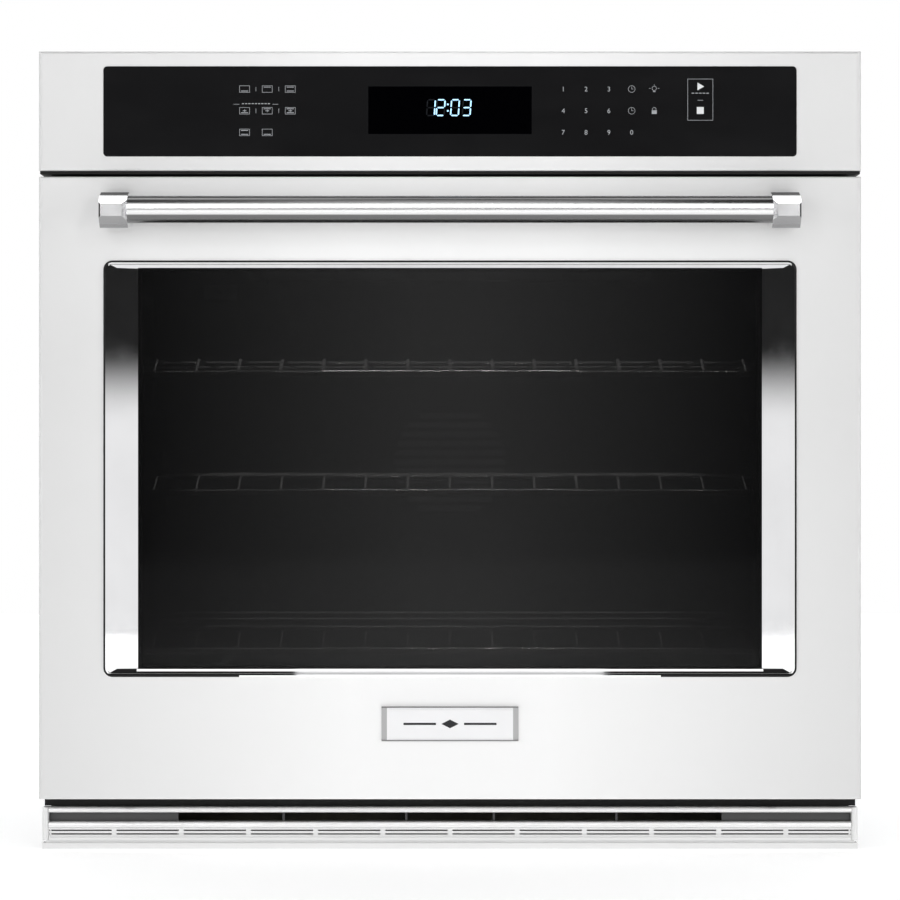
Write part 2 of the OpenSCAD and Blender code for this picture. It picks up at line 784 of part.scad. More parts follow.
module door_skin() {
    color("white") difference() {
        soft_front(half_w, y_face, y_door, door_z0, door_z1, edge_r, lip_r, lip_r);
        block(-half_w + skin_t, half_w - skin_t, y_face + skin_t, y_door - skin_t, door_z0 + skin_t, door_z1 - skin_t);
        // rear opening inside the return flange
        block(-half_w + 11, half_w - 11, y_door - 3, y_door + 1, door_z0 + 9, door_z1 - 8);
        plate(bezel_hw - 3.2, bezel_z0 + 3.2, bezel_z1 - 3.2, y_face - 1, y_face + 3, bezel_r - 3);
        // hinge arm slots in the lower corner
        both() block(hinge_x - hinge_slot_hw, hinge_x + hinge_slot_hw, hinge_y - 11, y_door + 1,
            door_z0 - 1, door_z0 + 17);
        // handle bolt holes
        for (sx = [-1, 1], dz = [-bolt_dz, bolt_dz])
            rod_y(y_face - 1, y_face + 3, sx * (handle_hw - bracket_w / 2), handle_z + dz, 3.1);
    }
}

// Chrome frame: the bevels are the planes of a shallow funnel.
module window_bezel() {
    y0 = y_face - 1;
    rim = 1.5;
    color("silver") difference() {
        union() {
            plate(bezel_hw, bezel_z0, bezel_z1, y0, y_face, bezel_r);
            plate(bezel_hw - 3.6, bezel_z0 + 3.6, bezel_z1 - 3.6, y_face, y_pane, bezel_r - 3.4);
        }
        intersection() {
            translate([0, 0, bezel_z0 - 1]) linear_extrude(bezel_z1 - bezel_z0 + 2) polygon([
                [-bezel_hw + rim, y0], [bezel_hw - rim, y0],
                [sight_hw, y_pane], [-sight_hw, y_pane]]);
            translate([-bezel_hw, 0, 0]) rotate([90, 0, 90]) linear_extrude(2 * bezel_hw) polygon([
                [y0, bezel_z0 + rim], [y0 + bevel_drop, sight_z0], [y_pane, sight_z0],
                [y_pane, sight_z1], [y0 + bevel_drop, sight_z1], [y0, bezel_z1 - rim]]);
        }
    }
}

module outer_glass() {
    color("black") plate(sight_hw + 6, sight_z0 - 5, sight_z1 + 5, y_pane, y_pane + pane_t, 6);
}

module middle_glass() {
    color("black") plate(view_hw + 6, view_z0 - 6, view_z1 + 6, y_pane + 14, y_pane + 14 + pane_t, 4);
}

module inner_glass() {
    color("black") plate(view_hw + 5, view_z0 - 5, view_z1 + 5, y_plug - sheet_t - pane_t, y_plug - sheet_t, 4);
}

module glass_frame() {
    color("dimgray") difference() {
        plate(plug_hw - 2, plug_z0 + 2, plug_z1 - 2, y_pane + pane_t, y_plug - sheet_t, 11);
        plate(view_hw, view_z0, view_z1, y_pane, y_plug, 4);
        plate(view_hw + 6, view_z0 - 6, view_z1 + 6, y_pane + 14, y_pane + 14 + pane_t, 4);
        plate(view_hw + 5, view_z0 - 5, view_z1 + 5, y_plug - sheet_t - pane_t, y_plug, 4);
    }
}

module door_inner_panel() {
    color("dimgray") difference() {
        union() {
            block(-half_w + skin_t + 0.5, half_w - skin_t - 0.5, y_liner, y_liner + sheet_t,
                door_z0 + skin_t + 0.5, door_z1 - skin_t - 0.5);
            plate(plug_hw, plug_z0, plug_z1, y_liner, y_plug, 12);
        }
        plate(plug_hw - sheet_t, plug_z0 + sheet_t, plug_z1 - sheet_t, y_liner - 1, y_plug - sheet_t, 11);
        plate(view_hw, view_z0, view_z1, y_liner, y_plug + 1, 6);
        both() block(hinge_x - hinge_slot_hw, hinge_x + hinge_slot_hw, y_liner - 1, y_liner + 3,
            door_z0, door_z0 + 17);
        // latch slot
        block(latch_x0, latch_x1, y_liner - 1, y_liner + 3, latch_z + latch_dz0, latch_z + latch_dz1);
    }
}

module door_insulation() {
    color("khaki") difference() {
        block(-half_w + 12, half_w - 12, y_face + skin_t + 0.5, y_liner, 72, 574);
        block(-bezel_hw - 2, bezel_hw + 2, y_face, y_liner + 1, plug_z0 - 2, plug_z1 + 2);
        both() block(hinge_x - 8, hinge_x + 8, y_face, y_liner + 1, 60, 153);
    }
}

// ---- handle and badge ----

module handle_bar() {
    color("silver") rod_x(-handle_hw + bracket_w, handle_hw - bracket_w, y_bar + bar_r, handle_z, bar_r);
}

// Faceted end bracket: side profile cut by a plan profile with a chamfer towards the bar.
module handle_bracket() {
    y0 = y_bar + 2.5;
    hz = bracket_h / 2;
    x0 = handle_hw - bracket_w;
    color("silver") difference() {
        intersection() {
            translate([x0, 0, handle_z]) rotate([90, 0, 90]) linear_extrude(bracket_w) polygon([
                [y_face, -hz + 4.4], [y_face, hz], [y0 + 22, hz], [y0 + 8, hz - 4.4],
                [y0, 4.8], [y0, -6.6], [y0 + 8, -hz + 3.2], [y0 + 12, -hz]]);
            translate([0, 0, handle_z - hz - 1]) linear_extrude(bracket_h + 2) polygon([
                [x0, y_face], [x0, y0 + 4.5], [x0 + 4.5, y0], [handle_hw - 1.5, y0],
                [handle_hw, y0 + 1.5], [handle_hw, y_face]]);
        }
        for (dz = [-bolt_dz, bolt_dz])
            rod_y(y_face - 14, y_face + 1, handle_hw - bracket_w / 2, handle_z + dz, 3);
    }
}

module handle_bracket_left() {
    mirror([1, 0, 0]) handle_bracket();
}

module handle_bracket_right() {
    handle_bracket();
}

module handle_bolts() {
    bx = handle_hw - bracket_w / 2;
    color("silver") for (sx = [-1, 1], dz = [-bolt_dz, bolt_dz]) {
        rod_y(y_face - 12, y_face + skin_t, sx * bx, handle_z + dz, 2.95);
        translate([sx * bx, y_face + skin_t + 4, handle_z + dz]) rotate([90, 0, 0])
            cylinder(h = 4, r = 5.8, $fn = 6);
    }
}

module badge() {
    bw = 63.3;
    z0 = 103.9;
    z1 = 135.6;
    color("silver") difference() {
        translate([0, 0, z0]) linear_extrude(z1 - z0) polygon([
            [-bw, y_face], [-bw, y_face - 1], [-bw + 5, y_face - 3], [bw - 5, y_face - 3],
            [bw, y_face - 1], [bw, y_face]]);
        // engraved border lines
        for (z = [z0 + 1.6, z1 - 2.4]) block(-bw + 6, bw - 6, y_face - 4, y_face - 2.4, z, z + 0.8);
    }
}

// ---- racks ----

// Wire from the front rail up to the deck.
module nose_wire(x, z0) {
    rise = rack_deck + rack_dip;
    translate([x, rack_y0, z0 - rack_dip]) rotate([-atan2(rack_nose, rise), 0, 0])
        cylinder(h = norm([rack_nose, rise]), r = wire_r);
}

module rack(z0) {
    deck = z0 + rack_deck;
    front = z0 - rack_dip;
    y_deck = rack_y0 + rack_nose;
    color("silver") {
        rod_x(-rack_hw, rack_hw, rack_y0, front, rack_r);
        rod_x(-rack_hw, rack_hw, rack_y1, deck, rack_r);
        both() {
            rod_y(rack_y0, rack_y1, rack_hw, deck, rack_r);
            rod_z(front, deck, rack_hw, rack_y0, rack_r);
            translate([rack_hw, rack_y0, front]) sphere(rack_r);
            translate([rack_hw, rack_y0, deck]) sphere(rack_r);
            translate([rack_hw, rack_y1, deck]) sphere(rack_r);
        }
        for (y = [-70, 80]) rod_x(-rack_hw, rack_hw, y, deck, 2.4);
        // stiffening bar welded over the front rail
        rod_x(-121, 121, rack_y0 - 1.4, front + 1, 2.6);
        for (i = [0:rack_wires - 1]) {
            x = (i - (rack_wires - 1) / 2) * rack_wire_pitch;
            rod_y(y_deck, rack_y1, x, deck, wire_r);
            nose_wire(x, z0);
            translate([x, y_deck, deck]) sphere(wire_r + 0.3);
        }
    }
}

module rack_upper() {
    rack(rack_z0 + (rack_levels - 1) * rack_pitch);
}

module rack_middle() {
    rack(rack_z0 + (rack_levels - 4) * rack_pitch);
}

module rack_lower() {
    rack(rack_z0);
}

side_panel_left();
side_panel_right();
top_panel();
back_panel();
base_pan();
base_rails();
front_frame();
cavity_liner();
insulation();
door_gasket();
bake_element();
broil_element();
element_clips();
convection_element();
fan_cover();
fan_motor();
lamp_housings();
lamp_lenses();
temperature_sensor();
hinge_arm_left();
hinge_arm_right();
hinge_receivers();
latch_motor();
door_switch();
control_panel();
control_glass();
display_module();
control_board();
air_deflector();
blower_housing();
blower_motor();
junction_box();
conduit_gland();
vent_trim();
vent_rails();
vent_end_caps();
convection_fan();
blower_wheel();
latch_hook();
switch_plunger();
door_skin();
window_bezel();
outer_glass();
middle_glass();
inner_glass();
glass_frame();
door_inner_panel();
door_insulation();
handle_bar();
handle_bracket_left();
handle_bracket_right();
handle_bolts();
badge();
hinge_channel_left();
hinge_channel_right();
rack_upper();
rack_middle();
rack_lower();
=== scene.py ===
"""Looks of a built-in electric wall oven: finishes, printed marks, pressed work and studio."""

import logging
import math
from abc import ABC, abstractmethod
from dataclasses import dataclass, field
from enum import Enum

import bmesh
import bpy
from mathutils import Matrix, Vector


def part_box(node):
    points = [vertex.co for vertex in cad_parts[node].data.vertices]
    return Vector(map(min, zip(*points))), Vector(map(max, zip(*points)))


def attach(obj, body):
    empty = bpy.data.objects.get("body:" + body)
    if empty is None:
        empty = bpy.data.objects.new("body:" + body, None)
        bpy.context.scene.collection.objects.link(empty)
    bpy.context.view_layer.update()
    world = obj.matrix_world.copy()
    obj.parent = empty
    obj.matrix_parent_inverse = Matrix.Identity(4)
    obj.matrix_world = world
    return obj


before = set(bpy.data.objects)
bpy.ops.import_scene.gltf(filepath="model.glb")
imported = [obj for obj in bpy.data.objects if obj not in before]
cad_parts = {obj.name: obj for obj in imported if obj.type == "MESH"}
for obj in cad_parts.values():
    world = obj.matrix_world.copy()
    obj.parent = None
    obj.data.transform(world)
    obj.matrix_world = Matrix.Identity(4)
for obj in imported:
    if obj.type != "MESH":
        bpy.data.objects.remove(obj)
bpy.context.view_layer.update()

log = logging.getLogger("wall_oven")

Colour = tuple[float, float, float]
Point2 = tuple[float, float]
Point3 = tuple[float, float, float]
Bar = tuple[float, float, float, float]
Socket = bpy.types.NodeSocket

MM = 0.001


class Body(Enum):
    """Rigid bodies that the new pieces ride on."""

    CHASSIS = "chassis"
    DOOR = "door"


class Grain(Enum):
    """Which way the brushing lines of a metal run."""

    ALONG_X = (2.0, 900.0, 900.0)
    ALONG_Y = (900.0, 2.0, 900.0)
    NONE = (60.0, 60.0, 60.0)


# ---------------- finishes


class Shader:
    """One material's node tree, with short calls for the nodes that the finishes use."""

    def __init__(self, name: str) -> None:
        """Starts a material.

        Args:
            name: The material's name.
        """
        self.material = bpy.data.materials.new(name)
        self.material.use_nodes = True
        self.tree = self.material.node_tree
        self.surface = self.tree.nodes["Principled BSDF"]

    def fix(self, **values: object) -> "Shader":
        """Sets sockets of the surface that are the same all over.

        Args:
            values: Socket names with underscores for spaces, and their values.

        Returns:
            This shader, for chaining.
        """
        for key, value in values.items():
            socket = self.surface.inputs[key.replace("_", " ")]
            if isinstance(value, tuple) and len(value) == 3 and socket.type == "RGBA":
                value = (*value, 1.0)
            socket.default_value = value
        return self

    def node(self, kind: str, **inputs: object) -> bpy.types.Node:
        """Adds a node.

        Args:
            kind: The node's type without its ShaderNode prefix.
            inputs: Values or sockets for its inputs, by name with underscores for spaces.

        Returns:
            The new node.
        """
        made = self.tree.nodes.new("ShaderNode" + kind)
        for key, value in inputs.items():
            socket = made.inputs[key.replace("_", " ")]
            if isinstance(value, Socket):
                self.tree.links.new(value, socket)
            else:
                socket.default_value = value
        return made

    def where(self, scale: tuple[float, float, float] = (1.0, 1.0, 1.0)) -> Socket:
        """Returns the place on the piece in metres, stretched by scale."""
        place = self.node("TexCoord").outputs["Object"]
        return self.node("Mapping", Vector=place, Scale=scale).outputs["Vector"]

    def noise(self, vector: Socket, scale: float, detail: float = 3.0) -> Socket:
        """Returns a soft noise from 0 to 1 with scale lumps per metre and finer layers."""
        return self.node("TexNoise", Vector=vector, Scale=scale, Detail=detail).outputs["Fac"]

    def spread(self, value: Socket, low: float, high: float,
               start: float = 0.3, end: float = 0.7) -> Socket:
        """Maps a value from start..end onto low..high.

        Args:
            value: The value to map.
            low: Result at start.
            high: Result at end.
            start: Lowest value read.
            end: Highest value read.

        Returns:
            The mapped value.
        """
        made = self.node("MapRange", Value=value)
        ends = {"From Min": start, "From Max": end, "To Min": low, "To Max": high}
        for key, number in ends.items():
            made.inputs[key].default_value = number
        return made.outputs["Result"]

    def tint(self, value: Socket, first: Colour, second: Colour,
             start: float = 0.3, end: float = 0.7) -> Socket:
        """Turns a value into a colour between two.

        Args:
            value: The value to read.
            first: Colour at start.
            second: Colour at end.
            start: Where the first colour ends.
            end: Where the second colour begins.

        Returns:
            The colour.
        """
        made = self.tree.nodes.new("ShaderNodeValToRGB")
        self.tree.links.new(value, made.inputs["Fac"])
        made.color_ramp.elements[0].position = start
        made.color_ramp.elements[0].color = (*first, 1.0)
        made.color_ramp.elements[1].position = end
        made.color_ramp.elements[1].color = (*second, 1.0)
        return made.outputs["Color"]

    def bands(self, value: Socket, stops: tuple[Point2, ...], colour: Colour) -> Socket:
        """Shades a colour by steps along a value from -1 to 1.

        Args:
            value: The value to read.
            stops: Places along the value, and the strength of the colour there.
            colour: The colour at full strength.

        Returns:
            The colour.
        """
        made = self.tree.nodes.new("ShaderNodeValToRGB")
        self.tree.links.new(self.spread(value, 0.0, 1.0, -1.0, 1.0), made.inputs["Fac"])
        steps = made.color_ramp.elements
        while len(steps) < len(stops):
            steps.new(0.5)
        for step, (place, strength) in zip(steps, stops):
            step.position = (place + 1.0) / 2.0
            step.color = (*(c * strength for c in colour), 1.0)
        return made.outputs["Color"]

    def part(self, vector: Socket, axis: str, size: bool = False) -> Socket:
        """Reads one axis of a vector.

        Args:
            vector: The vector to read.
            axis: X, Y or Z.
            size: Whether to drop its sign.

        Returns:
            The value along the axis.
        """
        value = self.node("SeparateXYZ", Vector=vector).outputs[axis]
        if not size:
            return value
        made = self.node("Math")
        made.operation = "ABSOLUTE"
        self.tree.links.new(value, made.inputs[0])
        return made.outputs["Value"]

    def drive(self, **sockets: Socket) -> "Shader":
        """Links sockets into the surface.

        Args:
            sockets: Sockets by the surface's names with underscores for spaces.

        Returns:
            This shader, for chaining.
        """
        for key, value in sockets.items():
            self.tree.links.new(value, self.surface.inputs[key.replace("_", " ")])
        return self

    def bump(self, height: Socket, strength: float, depth: float) -> "Shader":
        """Raises the surface by a height.

        Args:
            height: Height from 0 to 1.
            strength: How strongly it is shown.
            depth: Height in metres of the value 1.

        Returns:
            This shader, for chaining.
        """
        made = self.node("Bump", Height=height, Strength=strength, Distance=depth)
        return self.drive(Normal=made.outputs["Normal"])


made_finishes: dict[str, bpy.types.Material] = {}


@dataclass(frozen=True)
class Finish(ABC):
    """A named surface finish."""

    name: str

    @abstractmethod
    def paint(self, s: Shader) -> None:
        """Builds the nodes in a new shader."""

    def get(self) -> bpy.types.Material:
        """Builds the material once.

        Returns:
            The material, the same at each call.
        """
        if self.name not in made_finishes:
            shader = Shader(self.name)
            self.paint(shader)
            made_finishes[self.name] = shader.material
        return made_finishes[self.name]


@dataclass(frozen=True)
class Enamel(Finish):
    """Fired or sprayed enamel with a faint orange peel."""

    colour: Colour
    gloss: float
    fleck: Colour | None = None
    # edge below 1 is painted shade: the share of the colour left at the sides, where light falls
    # off
    edge: float = 1.0
    mirror: float = 0.5

    def paint(self, s: Shader) -> None:
        """Builds the enamel, with pale flecks, or with painted shade that darkens it towards its
        sides, where it has them.

        Args:
            s: The shader to fill.
        """
        place = s.where()
        cloud = s.noise(place, 9.0, 2.0)
        if self.fleck:
            speck = s.node("TexVoronoi", Vector=place, Scale=420.0).outputs["Distance"]
            s.drive(Base_Color=s.tint(speck, self.fleck, self.colour, 0.09, 0.17))
        # Painted shade: the colour darkens with distance from the middle in x
        elif self.edge < 1.0:
            painted_side_shade = tuple(c * self.edge for c in self.colour)
            s.drive(Base_Color=s.tint(s.part(place, "X", True), self.colour, painted_side_shade, 0.09, 0.385))
        else:
            darker = tuple(c * 0.975 for c in self.colour)
            s.drive(Base_Color=s.tint(cloud, darker, self.colour))
        s.drive(Roughness=s.spread(cloud, self.gloss * 0.85, self.gloss * 1.15))
        s.bump(s.noise(place, 260.0, 1.0), 0.05, 0.0002)
        s.fix(Specular_IOR_Level=self.mirror)


@dataclass(frozen=True)
class Metal(Finish):
    """Bare or plated metal, polished, brushed or rolled."""

    colour: Colour
    rough: Point2
    grain: Grain = Grain.NONE
    relief: float = 0.05
    metallic: float = 1.0
    # The slope bands are painted reflections and shade: colour strength by which way the surface
    # faces
    painted_reflection_bands: tuple[Point2, ...] = ()
    slope_axis: str = "Z"
    # The depth span gives painted shade: the colour darkens into a recess across it in y
    depth: Point2 = (0.0, 0.0)

    def paint(self, s: Shader) -> None:
        """Builds the metal; where it says so, its colour carries painted reflections and shade
        banded by slope, or painted shade that darkens it inward.

        Args:
            s: The shader to fill.
        """
        lines = s.noise(s.where(self.grain.value), 1.0, 4.0)
        # Painted reflections and shade: the colour is banded by the facing of the surface
        if self.painted_reflection_bands:
            rise = s.part(s.node("TexCoord").outputs["Normal"], self.slope_axis)
            s.drive(Base_Color=s.bands(rise, self.painted_reflection_bands, self.colour))
        # Painted shade: the colour darkens towards the back of the recess across the depth span in
        # y
        elif self.depth[1]:
            recess_shade_colour = tuple(c * 0.1 for c in self.colour)
            inward = s.spread(s.part(s.where(), "Y"), 0.0, 1.0, *self.depth)
            s.drive(Base_Color=s.tint(inward, self.colour, recess_shade_colour, 0.1, 0.9))
        else:
            dull = tuple(c * 0.93 for c in self.colour)
            s.drive(Base_Color=s.tint(s.noise(s.where(), 14.0, 3.0), dull, self.colour))
        s.drive(Roughness=s.spread(lines, self.rough[0], self.rough[1]))
        s.bump(lines, self.relief, 0.0001)
        s.fix(Metallic=self.metallic)


@dataclass(frozen=True)
class Spangle(Finish):
    """Zinc-coated sheet with its flat crystals."""

    def paint(self, s: Shader) -> None:
        """Builds the zinc sheet.

        Args:
            s: The shader to fill.
        """
        place = s.where()
        cells = s.node("TexVoronoi", Vector=place, Scale=130.0)
        shade = s.node("SeparateColor", Color=cells.outputs["Color"]).outputs["Red"]
        s.drive(Base_Color=s.tint(shade, (0.36, 0.37, 0.385), (0.46, 0.47, 0.485), 0.0, 1.0),
                Roughness=s.spread(shade, 0.34, 0.42, 0.0, 1.0))
        s.bump(s.noise(place, 220.0), 0.06, 0.0002)
        s.fix(Metallic=0.9)


@dataclass(frozen=True)
class Glass(Finish):
    """A pane: dark printed, tinted or clear."""

    colour: Colour
    see: float
    gloss: float
    mirror: float
    # The middle colour is a painted reflection, lighter towards the middle of the pane
    middle_reflection: Colour | None = None

    def paint(self, s: Shader) -> None:
        """Builds the pane with faint wipe marks in its gloss, and any painted reflection that
        lightens its middle.

        Args:
            s: The shader to fill.
        """
        smear = s.noise(s.where((1.0, 1.0, 2.5)), 16.0, 5.0)
        s.drive(Roughness=s.spread(smear, self.gloss * 0.8, self.gloss * 1.6))
        # Painted reflection: the colour is lighter towards the middle of the pane in x
        if self.middle_reflection:
            aside = s.part(s.where(), "X", True)
            s.drive(Base_Color=s.tint(aside, self.middle_reflection, self.colour, 0.03, 0.29))
        else:
            pale = tuple(c * 1.1 + 0.0004 for c in self.colour)
            s.drive(Base_Color=s.tint(smear, self.colour, pale))
        s.fix(Alpha=self.see, Specular_IOR_Level=self.mirror)


@dataclass(frozen=True)
class Fibre(Finish):
    """Mineral wool or woven glass-fibre braid."""

    dark: Colour = (0.5, 0.44, 0.25)
    light: Colour = (0.78, 0.72, 0.5)
    weave: bool = False

    def paint(self, s: Shader) -> None:
        """Builds the fibre: crossing yarns for a braid, tangled clouds for wool.

        Args:
            s: The shader to fill.
        """
        if self.weave:
            cross = s.node("Math")
            cross.operation = "MAXIMUM"
            for i, way in enumerate((1.0, -1.0)):
                place = s.where((1.0, 1.0, way))
                yarns = s.node("TexWave", Vector=place, Scale=110.0, Distortion=0.6)
                yarns.bands_direction = "DIAGONAL"
                s.tree.links.new(yarns.outputs["Fac"], cross.inputs[i])
            height = cross.outputs["Value"]
        else:
            height = s.noise(s.where(), 180.0, 8.0)
        s.drive(Base_Color=s.tint(height, self.dark, self.light, 0.2, 0.85))
        s.bump(height, 0.8, 0.0012)
        s.fix(Roughness=0.92, Sheen_Weight=0.3)


@dataclass(frozen=True)
class Moulded(Finish):
    """Moulded plastic, lacquer or printed ink."""

    colour: Colour = (0.02, 0.02, 0.02)
    rough: float = 0.5
    grain: float = 900.0
    relief: float = 0.15
    glow: float = 0.0
    mirror: float = 0.5

    def paint(self, s: Shader) -> None:
        """Builds the plastic with its fine spark-eroded grain.

        Args:
            s: The shader to fill.
        """
        place = s.where()
        fine = s.noise(place, self.grain, 2.0)
        lighter = tuple(min(1.0, c * 1.18) for c in self.colour)
        s.drive(Base_Color=s.tint(fine, self.colour, lighter),
                Roughness=s.spread(fine, self.rough * 0.9, min(1.0, self.rough * 1.15)))
        s.bump(fine, self.relief, 0.0001)
        s.fix(Specular_IOR_Level=self.mirror)
        if self.glow:
            s.fix(Emission_Color=self.colour, Emission_Strength=self.glow)


@dataclass(frozen=True)
class Oxide(Finish):
    """Heater tube sheath, mottled by heat."""

    def paint(self, s: Shader) -> None:
        """Builds the sheath.

        Args:
            s: The shader to fill.
        """
        mottle = s.noise(s.where(), 55.0, 5.0)
        s.drive(Base_Color=s.tint(mottle, (0.05, 0.05, 0.06), (0.16, 0.145, 0.13)),
                Roughness=s.spread(mottle, 0.45, 0.65))
        s.bump(s.noise(s.where(), 700.0, 2.0), 0.15, 0.0001)
        s.fix(Metallic=0.75)


@dataclass(frozen=True)
class BoardLacquer(Finish):
    """Printed circuit board with its copper runs under lacquer."""

    def paint(self, s: Shader) -> None:
        """Builds the lacquered board.

        Args:
            s: The shader to fill.
        """
        runs = s.node("TexBrick", Vector=s.where(), Scale=70.0)
        runs.inputs["Mortar Size"].default_value = 0.06
        lacquer, copper = (0.01, 0.09, 0.035), (0.03, 0.2, 0.08)
        s.drive(Base_Color=s.tint(runs.outputs["Fac"], lacquer, copper, 0.1, 0.9))
        s.fix(Roughness=0.25)


# The white enamel's 0.757 is painted shade that darkens the panels towards their sides
WHITE_ENAMEL = Enamel("white_enamel_gloss", (0.87, 0.87, 0.87), 0.20, None, 0.757)
BLACK_ENAMEL = Enamel("black_enamel_satin", (0.007, 0.007, 0.0075), 0.45, mirror=0.25)
PORCELAIN = Enamel("dark_porcelain", (0.012, 0.013, 0.017), 0.25, (0.09, 0.095, 0.11), mirror=0.12)
ZINC = Spangle("zinc_sheet_spangle")
BLACK_STEEL = Enamel("black_painted_steel", (0.008, 0.008, 0.008), 0.55, mirror=0.25)
# The trim darkens to a tenth of its colour across y -0.2505 to -0.2445: painted shade in the recess
# behind the rails
TRIM_METAL = Metal("satin_trim", (0.74, 0.74, 0.74), (0.34, 0.46), Grain.ALONG_X, 0.03, 0.5,
                   depth=(-0.2505, -0.2445))
BRIGHT_RAIL = Metal("bright_rail", (0.86, 0.86, 0.86), (0.22, 0.32), Grain.ALONG_X, 0.02, 0.5)
CHROME = Metal("polished_chrome_plate", (0.8, 0.8, 0.81), (0.02, 0.05), Grain.NONE, 0.004)
# Painted reflections and shade by facet: lower facets darker, front and upper facets bright, top
# strip dark
CAST_CHROME = Metal("polished_bracket", (0.92, 0.92, 0.93), (0.1, 0.16), Grain.NONE, 0.01,
                    painted_reflection_bands=((-0.95, 0.2), (-0.8, 0.4), (-0.3, 0.45), (-0.1, 0.95),
                            (0.75, 1.0), (0.83, 0.12)))
# Painted reflections and shade: dark on the bar's lower and upper slopes, bright round its front
# and near its top
BRUSHED_BAR = Metal("brushed_bar", (0.92, 0.92, 0.925), (0.2, 0.3), Grain.ALONG_X, 0.04,
                    painted_reflection_bands=((-0.95, 0.3), (-0.75, 0.2), (-0.48, 0.2), (-0.38, 0.88), (0.38, 0.9),
                            (0.46, 0.4), (0.62, 0.2), (0.85, 0.2), (0.95, 0.7)))
TOUCH_GLASS = Glass("touch_pane", (0.0085, 0.0085, 0.009), 1.0, 0.06, 0.15)
# The window's lighter middle colour is a painted reflection
WINDOW_GLASS = Glass("tinted_window", (0.006, 0.006, 0.0062), 0.55, 0.04, 0.1, (0.03, 0.03, 0.03))
CLEAR_GLASS = Glass("clear_pane", (0.01, 0.012, 0.011), 0.12, 0.04, 0.3)
LENS_GLASS = Glass("lamp_lens", (0.04, 0.04, 0.035), 0.5, 0.1, 0.4)
SHEATH = Oxide("element_sheath")
RACK_WIRE = Metal("plated_wire", (0.62, 0.61, 0.6), (0.14, 0.22), Grain.NONE, 0.02)
PLAIN_STEEL = Metal("plain_steel", (0.46, 0.46, 0.47), (0.3, 0.42), Grain.NONE, 0.05)
DARK_STEEL = Metal("heat_tinted_steel", (0.06, 0.055, 0.05), (0.4, 0.5), Grain.NONE, 0.05)
ALU_SHEET = Metal("rolled_aluminium", (0.66, 0.67, 0.68), (0.28, 0.4), Grain.ALONG_Y, 0.04)
# Painted light and shade: the badge's front face bright, its sloped and side faces darker
BADGE_METAL = Metal("badge_plate", (0.84, 0.84, 0.85), (0.32, 0.4), Grain.NONE, 0.01, 0.35,
                    painted_reflection_bands=((-1.0, 1.0), (-0.985, 1.0), (-0.93, 0.5), (0.0, 0.35), (1.0, 0.4)),
                    slope_axis="Y")
# A dark strip standing for the shadow in the seam round the window bezel: painted shadow
SEAM_SHADOW = Moulded("bezel_shadow_line", (0.012, 0.012, 0.0125), 0.4, 900.0, 0.02, mirror=0.1)
BADGE_EDGE = Moulded("badge_edge_line", (0.2, 0.2, 0.2), 0.5, 900.0, 0.02, mirror=0.1)
BADGE_INK = Moulded("badge_ink", (0.03, 0.03, 0.032), 0.5, 900.0, 0.05, mirror=0.1)
SCREW_ZINC = Metal("screw_zinc", (0.62, 0.62, 0.6), (0.22, 0.34), Grain.NONE, 0.03)
WOOL = Fibre("mineral_wool_mat")
BRAID = Fibre("woven_braid", (0.02, 0.02, 0.022), (0.16, 0.16, 0.17), True)
BLACK_PLASTIC = Moulded("black_moulding")
GREY_PLASTIC = Moulded("grey_moulding", (0.35, 0.35, 0.36))
BOARD = BoardLacquer("board_lacquer")
PRINT_INK = Moulded("printed_marks", (0.36, 0.37, 0.39), 0.6, 1500.0, 0.05, mirror=0.1)
BRIGHT_INK = Moulded("bright_marks", (0.68, 0.69, 0.7), 0.6, 1500.0, 0.05, mirror=0.1)
CLOCK_GLOW = Moulded("clock_segments", (0.35, 0.62, 0.85), 0.5, 600.0, 0.02, 0.9)
CLOCK_OFF = Moulded("unlit_segments", (0.006, 0.007, 0.009), 0.4, 600.0, 0.02, mirror=0.05)
DISPLAY_SMOKE = Moulded("display_smoke", (0.0002, 0.0002, 0.0005), 0.12, 300.0, 0.02, mirror=0.02)


# ---------------- mesh making


class Pieces:
    """Collects solids in one mesh."""

    def __init__(self) -> None:
        """Starts an empty mesh."""
        self.mesh = bmesh.new()

    def join(self, near: list[bmesh.types.BMVert], far: list[bmesh.types.BMVert]) -> None:
        """Makes a solid between two rings of corners.

        Args:
            near: The ring of its near end.
            far: The ring of its far end.
        """
        self.mesh.faces.new(near)
        self.mesh.faces.new(list(reversed(far)))
        for i in range(len(near)):
            j = (i + 1) % len(near)
            self.mesh.faces.new((near[i], far[i], far[j], near[j]))

    def done(self, name: str) -> bpy.types.Object:
        """Closes the mesh and returns it as an object with this name."""
        bmesh.ops.recalc_face_normals(self.mesh, faces=self.mesh.faces[:])
        return as_object(self.mesh, name)


